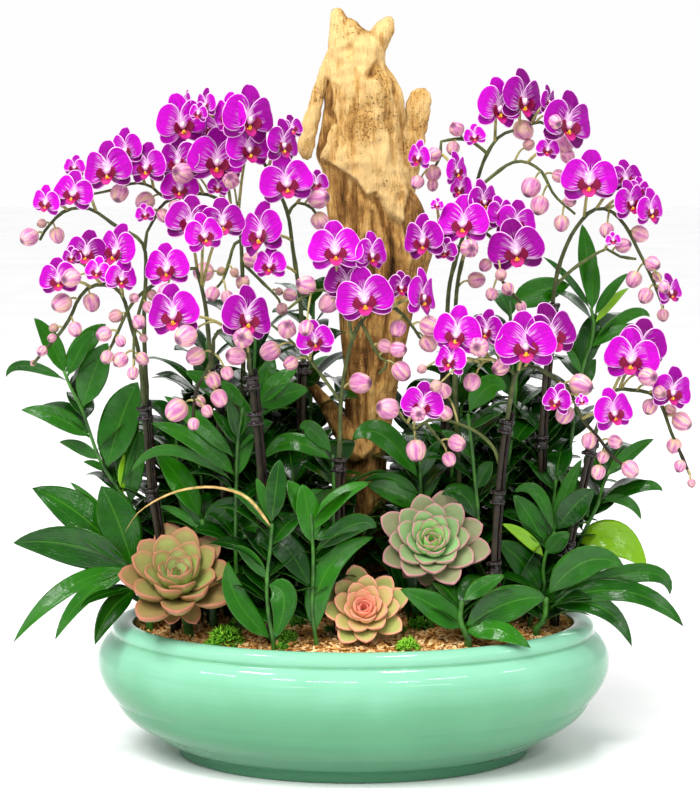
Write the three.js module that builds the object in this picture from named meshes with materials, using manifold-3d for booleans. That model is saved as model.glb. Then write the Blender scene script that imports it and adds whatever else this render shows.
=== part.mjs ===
// Moth orchids in an oval glazed bowl: flower sprays on stakes, leafy stems, echeverias and driftwood.
// Millimetres, +Z up. The origin is the middle of the flat underside of the bowl, and the front faces -Y.
import * as THREE from 'three';
import { mergeVertices } from 'three/addons/utils/BufferGeometryUtils.js';
import Module from 'manifold-3d';

const wasm = await Module();
wasm.setup();

// Driving dimensions of the bowl. The profile lists half widths and heights.
const BOWL_DEPTH_TO_WIDTH = 0.7;
const BOWL_SEGMENTS = 26;
const BOWL_PROFILE = [
  [0, 0], [156, 0], [158, 5], [184, 11], [207, 30], [223, 54], [230, 82], [226, 103], [217, 112],
  [210, 120.5], [203, 123], [196, 120], [218, 98], [220, 70], [196, 30], [148, 12], [0, 12],
];

// The potting mix fills the bowl with a fine gap to the wall, and its top is slightly domed.
const MIX_PROFILE = [
  [0, 12.3], [147.4, 12.3], [195.1, 30.5], [219.2, 70.2], [217.2, 97.7], [198.1, 116.6], [150, 121], [0, 122],
];
const SOIL_TOP = 122;
const HOLE_FLOOR = 100.7;
const ROOT_END = 101;
const HOLE_CLEARANCE = 0.4;

// The view that the pixel places were measured in: eye, downward tilt and focal length in pixels.
const EYE = new THREE.Vector3(-3, -2000, 560);
const TILT = THREE.MathUtils.degToRad(6.72);
const FOCAL = 2262;
const PICTURE_CENTRE = [350, 394];

// Plant sizes. The curve of a stem starts a little above the mix, over its straight root.
const STEM_START = SOIL_TOP + 4;
const STEM_RADIUS = 2.7;
const STEM_TIP_RADIUS = 1.5;
const TWIG_RADIUS = 1.4;
const PEDICEL_RADIUS = 1.5;
const LEAFY_RADIUS = 2.2;
const LEAFY_TIP_RADIUS = 1.6;
const BUSH_RADIUS = 2.4;
const SINK = 1.1;

// How long the straight pieces of stems, twigs and leafy stems are, about.
const STEM_PITCH = 46;
const TWIG_PITCH = 34;
const LEAFY_PITCH = 44;

// Stakes run beside and behind their stems, a little past the highest clip.
const STAKE_RADIUS = 1.7;
const STAKE_OFFSET = 4.1;
const CLIP_HEIGHT = 8;
const CLIP_WALL = 2.4;
const CLIP_CLEARANCE = 0.9;
const STAKE_END_GAP = 6;

// How far blooms stand forward of their stem: in the middle of a spray, in front and behind.
const BLOOM_LIFT = 18;
const FRONT = 27;
const BEHIND = 8;
const BLOOM_ASPECT = 0.86;

// Buds stand round their twig: a little in front of it, then a little behind. Smaller ones are left out.
const BUD_LIFTS = [6, -3, 3];
const SMALLEST_BUD = 13.5;
const BUD_DROOP = new THREE.Vector3(0, -0.12, -0.3);

// A leaf blade: place along it, half width as a share of its width, and share of its thickness. Leaves look
// forwards and a little up, with a roll that differs from one to the next.
const LEAF_STATIONS = [[0.34, 0.46, 0.7], [0.7, 0.42, 0.55]];
const LEAF_THICKNESS = 1.5;
const LEAF_FOLD = 0.18;
const LEAF_ARCH = 0.09;
const LEAF_FACE = new THREE.Vector3(0, -1, 0.4).normalize();
const LEAF_ROLLS = [0.25, -0.3, 0.1, -0.15, 0.35];
const GOLDEN_ANGLE = THREE.MathUtils.degToRad(137.5);

// An echeveria: rings of leaves as count, reach, lift and first angle; one leaf's places, half width, half
// thickness and rise; and the core as heights and radii. All are shares of the leaf's length or the radius.
const ROSETTE_RINGS = [[8, 1, 0.1, 0.3], [6, 0.78, 0.55, 0.05], [3, 0.5, 1.0, 0.5]];
const ROSETTE_LEAF = {
  start: 0.06, widest: 0.64, half: 0.255, thick: 0.08, rise: 0.02, edge: 0.05, tip: 0.1,
};
const ROSETTE_CORE = [[-0.2, 0.14], [0, 0.3]];
const ROSETTE_HEART = 0.26;
const ROSETTE_STEM_RADIUS = 4;

// The driftwood's trunk: pixel row, left and right outline, and depth as a share of the width.
const TRUNK_DEPTH = 74;
const TRUNK_ROOT = [20, 70];
const TRUNK_FOOT_RADIUS = 15;
const TRUNK_SIDES = 8;
const TRUNK_RINGS = [
  [570, 352, 388, 0.8], [540, 352, 387, 0.85], [480, 342, 386, 0.75], [400, 345, 396, 0.7],
  [320, 340, 412, 0.6], [250, 334, 434, 0.52], [205, 326, 425, 0.55], [172, 324, 411, 0.62],
  [150, 301, 414, 0.56], [112, 309, 406, 0.6], [80, 320, 386, 0.75], [56, 330, 388, 0.72],
  [36, 331, 393, 0.6],
];

// Its limbs: two horns, a stub and a prong. Pixels, radii, and how far each stands behind the trunk's middle.
const TRUNK_LIMBS = [
  { pixels: [[352, 58], [343, 30], [338, 12]], radii: [15, 11, 6], behind: -3 },
  { pixels: [[374, 58], [384, 34], [391, 19]], radii: [12, 8.5, 4], behind: 2 },
  { pixels: [[392, 140], [412, 108], [429, 90]], radii: [15, 10, 5], behind: 0 },
  { pixels: [[362, 455], [334, 415], [309, 383]], radii: [15, 9, 3.5], behind: -8 },
];

// Colours of the plain solids.
const GLAZE_COLOUR = '#86d9ae';
const MIX_COLOUR = '#a77a44';
const WOOD_COLOUR = '#c9a267';
const PETAL_COLOUR = '#b312a8';
const STAKE_COLOUR = '#2b1d1a';
const LEAF_COLOUR = '#1d6b1a';

// A bloom's outline: angle in degrees, distance from the centre and how far forward, as shares of its width.
const BLOOM_OUTLINE = [
  [-28, 0.2, 0], [-3, 0.49, -0.01], [33, 0.48, -0.01],
  [57, 0.22, 0], [78, 0.43, -0.04], [102, 0.43, -0.04],
  [123, 0.22, 0], [147, 0.48, -0.01], [183, 0.49, -0.01],
  [208, 0.2, 0], [237, 0.45, -0.04],
  [270, 0.15, 0], [303, 0.45, -0.04],
];

// Its relief, in the same terms: the lip with the petals' shoulders, the column, and the back. The walk round
// the rings starts at the outline's lower valley, so both faces are split alike.
const BLOOM_FRONT = [[-90, 0.17, 0.17], [30, 0.07, 0.06], [150, 0.07, 0.06]];
const BLOOM_COLUMN = [90, 0.02, 0.13];
const BLOOM_BACK = [[-90, 0.06, -0.04], [30, 0.06, -0.04], [150, 0.06, -0.04]];
const BLOOM_VALLEY = 11;

// Where a pixel of the front view lies at a depth, as a point.
function at(px, py, depth) {
  const up = (PICTURE_CENTRE[1] - py) / FOCAL;
  const across = (px - PICTURE_CENTRE[0]) / FOCAL;
  const forwardY = Math.cos(TILT) + Math.sin(TILT) * up;
  const forwardZ = -Math.sin(TILT) + Math.cos(TILT) * up;
  const reach = (depth - EYE.y) / forwardY;
  return new THREE.Vector3(EYE.x + reach * across, depth, EYE.z + reach * forwardZ);
}

// The size in millimetres of a length in pixels at a depth.
function sizeAt(pixels, depth) {
  return pixels * (depth - EYE.y) / FOCAL;
}

// A closed mesh in the making: points, and triangles that name them.
class Shell {
  constructor() {
    this.points = [];
    this.faces = [];
  }

  ring(points) {
    const first = this.points.length;
    this.points.push(...points);
    return points.map((point, i) => first + i);
  }

  // Joins two rings that may differ in count, walking round both.
  bridge(a, b) {
    let i = 0;
    let j = 0;
    while (i < a.length || j < b.length) {
      const stepA = (i + 0.5) / a.length;
      const stepB = (j + 0.5) / b.length;
      if (j >= b.length || (i < a.length && stepA <= stepB)) {
        this.faces.push([a[i % a.length], a[(i + 1) % a.length], b[j % b.length]]);
        i += 1;
      } else {
        this.faces.push([a[i % a.length], b[(j + 1) % b.length], b[j % b.length]]);
        j += 1;
      }
    }
  }

  close(ring, towardsEnd) {
    for (let i = 1; i < ring.length - 1; i += 1) {
      this.faces.push(towardsEnd ? [ring[0], ring[i], ring[i + 1]] : [ring[0], ring[i + 1], ring[i]]);
    }
  }

  solid() {
    const vertProperties = new Float32Array(this.points.length * 3);
    this.points.forEach((point, i) => point.toArray(vertProperties, i * 3));
    const triVerts = new Uint32Array(this.faces.flat());
    const body = new wasm.Manifold(new wasm.Mesh({ numProp: 3, vertProperties, triVerts }));
    if (body.volume() > 0) {
      return body;
    }
    const turned = new Uint32Array(this.faces.flatMap(([p, q, r]) => [p, r, q]));
    return new wasm.Manifold(new wasm.Mesh({ numProp: 3, vertProperties, triVerts: turned }));
  }
}

// A solid of rings in order, with a point or a flat face at each end.
function loft(rings) {
  const shell = new Shell();
  const indices = rings.map((ring) => shell.ring(ring));
  for (let i = 0; i + 1 < indices.length; i += 1) {
    if (indices[i].length === 1) {
      const next = indices[i + 1];
      next.forEach((p, k) => shell.faces.push([indices[i][0], next[(k + 1) % next.length], p]));
    } else if (indices[i + 1].length === 1) {
      const last = indices[i];
      last.forEach((p, k) => shell.faces.push([p, last[(k + 1) % last.length], indices[i + 1][0]]));
    } else {
      shell.bridge(indices[i], indices[i + 1]);
    }
  }
  if (indices[0].length > 1) {
    shell.close(indices[0], false);
  }
  if (indices[indices.length - 1].length > 1) {
    shell.close(indices[indices.length - 1], true);
  }
  return shell.solid();
}

// A ring of points round a centre, square to a direction.
function circle(centre, direction, radius, sides, reference = new THREE.Vector3(0, 1, 0.2)) {
  const across = new THREE.Vector3().crossVectors(reference, direction).normalize();
  const other = new THREE.Vector3().crossVectors(direction, across).normalize();
  return Array.from({ length: sides }, (unused, i) => {
    const angle = 2 * Math.PI * i / sides;
    return centre.clone()
      .addScaledVector(across, radius * Math.cos(angle))
      .addScaledVector(other, radius * Math.sin(angle));
  });
}

// The direction of a path at one of its points.
function along(path, i) {
  const before = path[Math.max(i - 1, 0)];
  const after = path[Math.min(i + 1, path.length - 1)];
  return after.clone().sub(before).normalize();
}

// A rod along a path of points that tapers from one radius to another.
function rod(path, startRadius, endRadius, sides) {
  const reference = new THREE.Vector3(0.15, 1, 0.1);
  return loft(path.map((point, i) => {
    const radius = THREE.MathUtils.lerp(startRadius, endRadius, i / (path.length - 1));
    return circle(point, along(path, i), radius, sides, reference);
  }));
}

// Points evenly along a smooth curve through given points.
function smooth(points, count) {
  return new THREE.CatmullRomCurve3(points, false, 'catmullrom', 0.5).getSpacedPoints(count);
}

// The place on a path nearest to a point, moved a share of the distance back towards the root.
function nearest(paths, target, backShare) {
  let best = null;
  paths.forEach((path) => {
    for (let i = 0; i + 1 < path.length; i += 1) {
      const span = path[i + 1].clone().sub(path[i]);
      const share = THREE.MathUtils.clamp(target.clone().sub(path[i]).dot(span) / span.lengthSq(), 0, 1);
      const point = path[i].clone().addScaledVector(span, share);
      const gap = point.distanceTo(target);
      if (!best || gap < best.gap) {
        best = { gap, path, i, share, point, span };
      }
    }
  });
  const length = best.span.length();
  const back = Math.min(best.gap * backShare, best.share * length);
  best.share -= back / length;
  best.point.addScaledVector(best.span, -back / length);
  return best;
}

// The far end of a stalk, sunk a little past the middle of the stem that carries it.
function sunk(from, root) {
  return root.clone().addScaledVector(root.clone().sub(from).normalize(), SINK);
}

// A bloom with its pedicel: one star outline, a lens in front and behind, a lip and a column.
function bloom(centre, width, facing, roll, root) {
  const up = new THREE.Vector3(0, 0, 1);
  const right = new THREE.Vector3().crossVectors(up, facing).normalize();
  const top = new THREE.Vector3().crossVectors(facing, right).normalize();
  right.applyAxisAngle(facing, roll);
  top.applyAxisAngle(facing, roll);
  const place = ([angle, distance, forward]) => centre.clone()
    .addScaledVector(right, width * distance * Math.cos(THREE.MathUtils.degToRad(angle)))
    .addScaledVector(top, width * distance * Math.sin(THREE.MathUtils.degToRad(angle)))
    .addScaledVector(facing, width * forward);
  const shell = new Shell();
  const outline = shell.ring(BLOOM_OUTLINE.map(place));
  const front = shell.ring(BLOOM_FRONT.map(place));
  const column = shell.ring([place(BLOOM_COLUMN)])[0];
  const back = shell.ring(BLOOM_BACK.map(place));
  const turned = outline.map((unused, i) => outline[(i + BLOOM_VALLEY) % outline.length]);
  shell.bridge(turned, front);
  front.forEach((p, i) => shell.faces.push([p, front[(i + 1) % front.length], column]));
  shell.bridge(back, turned);
  const end = shell.ring([sunk(centre, root)])[0];
  back.forEach((p, i) => shell.faces.push([back[(i + 1) % back.length], p, end]));
  return shell.solid();
}

// A bud on its pedicel: five sides, blunt tip away from the stem.
function bud(centre, size, root) {
  const axis = centre.clone().sub(root).normalize().add(BUD_DROOP).normalize();
  const ringAt = (share, radius, sides) => circle(
    centre.clone().addScaledVector(axis, share * size), axis, radius, sides, new THREE.Vector3(0.3, 1, 0.15));
  return loft([
    [sunk(centre, root)],
    ringAt(-0.45, PEDICEL_RADIUS, 3),
    ringAt(0.02, 0.5 * size, 5),
    [centre.clone().addScaledVector(axis, 0.6 * size)],
  ]);
}

// Which way a bloom looks: towards the viewer, turned away from its stem when it looks narrow.
function bloomFacing(centre, width, height, root) {
  const facing = EYE.clone().sub(centre).normalize();
  const full = height / BLOOM_ASPECT;
  const turn = Math.acos(THREE.MathUtils.clamp(width / full, 0.3, 1));
  const side = centre.x < root.x ? -1 : 1;
  const nod = Math.acos(THREE.MathUtils.clamp(full / width, 0.8, 1));
  facing.applyAxisAngle(new THREE.Vector3(0, 0, 1), side * turn);
  facing.applyAxisAngle(new THREE.Vector3(1, 0, 0), 0.6 * nod);
  return facing;
}

const nodes = [];
const holes = [];

// Adds a named part from a solid. Where fusing has sealed a hollow, it is left filled.
function addNode(name, body, colour, roughness) {
  const whole = body.decompose().reduce((a, b) => (b.volume() > a.volume() ? b : a));
  const mesh = whole.getMesh();
  const geometry = new THREE.BufferGeometry();
  geometry.setAttribute('position', new THREE.BufferAttribute(new Float32Array(mesh.vertProperties), 3));
  geometry.setIndex(new THREE.BufferAttribute(new Uint32Array(mesh.triVerts), 1));
  geometry.computeVertexNormals();
  const material = new THREE.MeshStandardMaterial({ color: colour, roughness });
  const part = new THREE.Mesh(geometry, material);
  part.name = name;
  nodes.push(part);
}

// Turns a three.js geometry into a solid.
function toSolid(geometry) {
  const bare = geometry.clone();
  bare.deleteAttribute('normal');
  bare.deleteAttribute('uv');
  const merged = mergeVertices(bare, 1e-4);
  const index = merged.getIndex();
  const triVerts = [];
  for (let i = 0; i < index.count; i += 3) {
    const corners = [index.getX(i), index.getX(i + 1), index.getX(i + 2)];
    if (new Set(corners).size === 3) {
      triVerts.push(...corners);
    }
  }
  const mesh = new wasm.Mesh({
    numProp: 3,
    vertProperties: new Float32Array(merged.getAttribute('position').array),
    triVerts: new Uint32Array(triVerts),
  });
  return new wasm.Manifold(mesh);
}

// An oval turned form from a profile of half widths and heights.
function ovalLathe(profile) {
  const points = profile.map(([radius, height]) => new THREE.Vector2(radius, height));
  const geometry = new THREE.LatheGeometry(points, BOWL_SEGMENTS);
  geometry.rotateX(Math.PI / 2);
  geometry.scale(1, BOWL_DEPTH_TO_WIDTH, 1);
  return toSolid(geometry);
}

// A path from its root in the potting mix up through pixel points, with the depth moving evenly.
function planted(root, pixels, depths, steps, radius) {
  const bottom = new THREE.Vector3(root[0], root[1], ROOT_END);
  const surface = new THREE.Vector3(root[0], root[1], STEM_START);
  const lengths = [0];
  pixels.slice(1).forEach((pixel, i) => {
    lengths.push(lengths[i] + Math.hypot(pixel[0] - pixels[i][0], pixel[1] - pixels[i][1]));
  });
  const total = lengths[lengths.length - 1];
  const points = pixels.map(([px, py], i) => {
    return at(px, py, THREE.MathUtils.lerp(depths[0], depths[1], total ? lengths[i] / total : 0));
  });
  holes.push({ x: root[0], y: root[1], radius });
  return [bottom, ...smooth([surface, ...points], steps)];
}

// How many pieces of about a pitch a line of pixels has.
function stepsFor(points, pitch) {
  let length = 0;
  points.slice(1).forEach((point, i) => {
    length += Math.hypot(point[0] - points[i][0], point[1] - points[i][1]);
  });
  return Math.max(2, Math.round(length / pitch));
}

// A flower spray: stem and side branches, with each bloom and bud fused to them by its pedicel.
function spray(name, { root, depths, stem, sides = [], blooms, buds }) {
  const main = planted(root, stem, depths, stepsFor(stem, STEM_PITCH), STEM_RADIUS);
  const paths = [main];
  let body = rod(main, STEM_RADIUS, STEM_TIP_RADIUS, 5);
  sides.forEach(({ from, to, pixels }) => {
    const joint = nearest(paths, at(pixels[0][0], pixels[0][1], from), 0).point;
    const points = pixels.slice(1).map(([px, py], i) => {
      return at(px, py, THREE.MathUtils.lerp(from, to, (i + 1) / (pixels.length - 1)));
    });
    const path = smooth([joint, ...points], stepsFor(pixels, TWIG_PITCH));
    paths.push(path);
    body = body.add(rod(path, TWIG_RADIUS, 0.85 * TWIG_RADIUS, 4));
  });
  const settle = (px, py, lift) => {
    let depth = depths[1];
    for (let round = 0; round < 3; round += 1) {
      depth = nearest(paths, at(px, py, depth), 0).point.y;
    }
    return at(px, py, depth - lift);
  };
  blooms.forEach(([px, py, w, h = w * BLOOM_ASPECT, lift = BLOOM_LIFT]) => {
    const centre = settle(px, py, lift);
    const width = sizeAt(w, centre.y);
    const height = sizeAt(h, centre.y);
    const joint = nearest(paths, centre, 0.5).point;
    const facing = bloomFacing(centre, width, height, joint);
    const roll = 0.16 * Math.sin(1.7 * px + py);
    body = body.add(bloom(centre, Math.max(width, height / BLOOM_ASPECT), facing, roll, joint));
  });
  buds.forEach(([px, py, d], i) => {
    if (d < SMALLEST_BUD) {
      return;
    }
    const centre = settle(px, py, BUD_LIFTS[i % BUD_LIFTS.length]);
    body = body.add(bud(centre, sizeAt(d, centre.y), nearest(paths, centre, 0.6).point));
  });
  addNode(name, body, PETAL_COLOUR, 0.55);
  return main;
}

// A square-edged ring round a direction, such as a clip's loop.
function collar(centre, direction, inner, outer, height, sides) {
  const low = centre.clone().addScaledVector(direction, -height / 2);
  const high = centre.clone().addScaledVector(direction, height / 2);
  const shell = new Shell();
  const rings = [[low, outer], [high, outer], [high, inner], [low, inner]]
    .map(([point, radius]) => shell.ring(circle(point, direction, radius, sides)));
  rings.forEach((ring, i) => shell.bridge(ring, rings[(i + 1) % rings.length]));
  return shell.solid();
}

// A stake behind a stem, following it up, with a clip looped round the stem at each given pixel.
function stake(name, stem, side, clips) {
  const shift = new THREE.Vector3(side * STAKE_OFFSET, STAKE_OFFSET, 0);
  const loops = clips.map(([px, py]) => {
    let depth = stem[2].y;
    for (let round = 0; round < 3; round += 1) {
      depth = nearest([stem], at(px, py, depth), 0).point.y;
    }
    return nearest([stem], at(px, py, depth), 0);
  });
  const highest = Math.max(...loops.map((loop) => loop.point.z)) + 2 * CLIP_HEIGHT;
  const count = stem.findIndex((point) => point.z >= highest - STAKE_END_GAP);
  const path = stem.slice(0, count).map((point) => point.clone().add(shift));
  const last = path[count - 1];
  const beyond = stem[count].clone().add(shift);
  const share = (highest - last.z) / (beyond.z - last.z);
  path.push(last.clone().lerp(beyond, THREE.MathUtils.clamp(share, 0.1, 1)));
  let body = rod(path, STAKE_RADIUS, STAKE_RADIUS, 4);
  loops.forEach(({ point, span, path: axis, i }) => {
    const radius = THREE.MathUtils.lerp(STEM_RADIUS, STEM_TIP_RADIUS, i / (axis.length - 1));
    const inner = (radius + CLIP_CLEARANCE) / Math.cos(Math.PI / 5);
    const direction = span.clone().normalize();
    body = body.add(collar(point, direction, inner, inner + CLIP_WALL, CLIP_HEIGHT, 5));
  });
  const hole = holes.find(({ x, y }) => x === stem[0].x && y === stem[0].y);
  hole.x += 0.5 * shift.x;
  hole.y += 0.5 * shift.y;
  hole.radius += 0.5 * shift.length();
  addNode(name, body, STAKE_COLOUR, 0.35);
}

// A thin folded leaf blade from its root over a middle point to its pointed tip. sideAt gives the direction
// across the blade where the rib has a given direction.
function blade(root, middle, tip, width, sideAt) {
  const control = middle.clone().multiplyScalar(2).addScaledVector(root, -0.5).addScaledVector(tip, -0.5);
  const rib = new THREE.QuadraticBezierCurve3(root, control, tip);
  const rings = LEAF_STATIONS.map(([share, halfShare, thickShare]) => {
    const point = rib.getPoint(share);
    const tangent = rib.getTangent(share);
    const side = sideAt(tangent);
    const face = new THREE.Vector3().crossVectors(side, tangent).normalize();
    const half = halfShare * width;
    const thick = thickShare * LEAF_THICKNESS;
    return [
      point.clone().addScaledVector(side, half).addScaledVector(face, LEAF_FOLD * half),
      point.clone().addScaledVector(face, thick),
      point.clone().addScaledVector(side, -half).addScaledVector(face, LEAF_FOLD * half),
      point.clone().addScaledVector(face, -thick),
    ];
  });
  return loft([[sunk(middle, root)], ...rings, [tip]]);
}

// A leafy stem or a clump of leaves on a short crown. Each leaf lists its root, tip, width,
// how far its tip reaches back from the stem, and the pixel that it arches over.
function leafy(name, { root, depths, stem, radius = LEAFY_RADIUS, tipRadius = LEAFY_TIP_RADIUS, leaves }) {
  const main = planted(root, stem, depths, stepsFor(stem, LEAFY_PITCH), radius);
  let body = rod(main, radius, tipRadius, 4);
  leaves.forEach(([bx, by, tx, ty, w, reach, ax, ay], i) => {
    const guess = nearest([main], at(bx, by, depths[0]), 0).point;
    const base = nearest([main], at(bx, by, guess.y), 0).point;
    const tip = at(tx, ty, base.y + reach);
    const middle = base.clone().lerp(tip, 0.5);
    middle.z += LEAF_ARCH * base.distanceTo(tip);
    if (ax !== undefined) {
      middle.copy(at(ax, ay, base.y + 0.45 * reach));
    }
    const roll = LEAF_ROLLS[i % LEAF_ROLLS.length];
    const sideAt = (tangent) => new THREE.Vector3()
      .crossVectors(tangent, LEAF_FACE)
      .normalize()
      .applyAxisAngle(tangent, roll);
    body = body.add(blade(base, middle, tip, sizeAt(w, base.y), sideAt));
  });
  addNode(name, body, LEAF_COLOUR, 0.35);
}

// A bushy stem at the back. Its leaves are set round it by the golden angle, level from side to side.
function bush(name, { root, height, lean, count, length, width, start }) {
  const up = new THREE.Vector3(0, 0, 1);
  const base = new THREE.Vector3(root[0], root[1], STEM_START);
  const top = base.clone().add(new THREE.Vector3(lean[0], lean[1], height));
  const middle = base.clone().lerp(top, 0.5).add(new THREE.Vector3(-0.15 * lean[0], -0.15 * lean[1], 0));
  const main = [new THREE.Vector3(root[0], root[1], ROOT_END), ...smooth([base, middle, top], 4)];
  holes.push({ x: root[0], y: root[1], radius: BUSH_RADIUS });
  let body = rod(main, BUSH_RADIUS, LEAFY_TIP_RADIUS, 4);
  for (let i = 0; i < count; i += 1) {
    const share = (i + 1) / count;
    const angle = start + i * GOLDEN_ANGLE;
    const from = nearest([main], base.clone().lerp(top, 0.15 + 0.85 * share), 0).point;
    const size = length * (1 - 0.25 * share);
    const out = new THREE.Vector3(Math.cos(angle), Math.sin(angle), 0);
    const rise = size * (0.1 + 0.45 * share);
    const tip = from.clone().addScaledVector(out, 0.9 * size).addScaledVector(up, rise);
    const arch = from.clone().lerp(tip, 0.5).addScaledVector(up, 0.16 * size);
    const side = new THREE.Vector3().crossVectors(out, up);
    body = body.add(blade(from, arch, tip, width, () => side));
  }
  addNode(name, body, LEAF_COLOUR, 0.35);
}

// An echeveria: rings of thick pointed leaves round a core, tilted towards the viewer on a short stem.
function rosette(name, { centre: [px, py, depth], radius, tilt, root, colour }) {
  const centre = at(px, py, depth);
  const axis = new THREE.Vector3(0, -Math.sin(tilt), Math.cos(tilt));
  const across = new THREE.Vector3(1, 0, 0);
  const upward = new THREE.Vector3().crossVectors(axis, across);
  const onAxis = (share) => centre.clone().addScaledVector(axis, share * radius);
  const base = new THREE.Vector3(root[0], root[1], ROOT_END);
  holes.push({ x: root[0], y: root[1], radius: ROSETTE_STEM_RADIUS });
  const stem = [base, base.clone().setZ(SOIL_TOP + 3), onAxis(-0.1)];
  let body = rod(stem, ROSETTE_STEM_RADIUS, ROSETTE_STEM_RADIUS, 5);
  const core = ROSETTE_CORE.map(([height, share]) => circle(onAxis(height), axis, share * radius, 8, upward));
  body = body.add(loft([...core, [onAxis(ROSETTE_HEART)]]));
  ROSETTE_RINGS.forEach(([count, reach, lift, start]) => {
    for (let i = 0; i < count; i += 1) {
      const angle = start + 2 * Math.PI * i / count;
      body = body.add(succulentLeaf(centre, axis, across, upward, reach * radius, lift, angle));
    }
  });
  addNode(name, body, colour, 0.6);
}

// One leaf of it: four-sided at its widest place, pointed at both ends, lifted off the rosette's plane.
function succulentLeaf(centre, axis, across, upward, length, lift, angle) {
  const out = across.clone().multiplyScalar(Math.cos(angle)).addScaledVector(upward, Math.sin(angle));
  const side = across.clone().multiplyScalar(-Math.sin(angle)).addScaledVector(upward, Math.cos(angle));
  const way = out.clone().multiplyScalar(Math.cos(lift)).addScaledVector(axis, Math.sin(lift));
  const face = new THREE.Vector3().crossVectors(way, side).normalize();
  const { start, widest, half, thick, rise, edge, tip } = ROSETTE_LEAF;
  const place = (share, acrossShare, faceShare) => centre.clone()
    .addScaledVector(way, share * length)
    .addScaledVector(side, acrossShare * length)
    .addScaledVector(face, faceShare * length);
  return loft([
    [place(start, 0, 0)],
    [place(widest, half, rise + edge), place(widest, 0, rise + thick),
      place(widest, -half, rise + edge), place(widest, 0, rise - thick)],
    [place(1, 0, tip)],
  ]);
}

// The driftwood: a trunk of irregular rings, with two horns, a stub and a prong.
function driftwood() {
  const ringOf = ([py, left, right, depthShare], k) => {
    const centre = at((left + right) / 2, py, TRUNK_DEPTH);
    const half = sizeAt((right - left) / 2, TRUNK_DEPTH);
    return Array.from({ length: TRUNK_SIDES }, (unused, i) => {
      const angle = 2 * Math.PI * i / TRUNK_SIDES;
      const knobble = i % (TRUNK_SIDES / 2) === 0 ? 1 : 1 + 0.09 * Math.sin(2.3 * i + 1.9 * k);
      return new THREE.Vector3(
        centre.x + half * Math.cos(angle) * knobble,
        centre.y + half * depthShare * Math.sin(angle) * knobble,
        centre.z + 3 * Math.sin(1.7 * i + k),
      );
    });
  };
  const up = new THREE.Vector3(0, 0, 1);
  const side = new THREE.Vector3(0, -1, 0);
  const [x, y] = TRUNK_ROOT;
  const footRing = (height) => {
    return circle(new THREE.Vector3(x, y, height), up, TRUNK_FOOT_RADIUS, TRUNK_SIDES, side);
  };
  holes.push({ x, y, radius: TRUNK_FOOT_RADIUS });
  let body = loft([footRing(ROOT_END), footRing(STEM_START), ...TRUNK_RINGS.map(ringOf)]);
  TRUNK_LIMBS.forEach(({ pixels, radii, behind }) => {
    const path = pixels.map(([px, py]) => at(px, py, TRUNK_DEPTH + behind));
    const ring = (point, i) => circle(point, along(path, i), radii[i], 6, new THREE.Vector3(0, 1, 0.1));
    body = body.add(loft(path.map(ring)));
  });
  addNode('driftwood', body, WOOD_COLOUR, 0.85);
}

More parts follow.
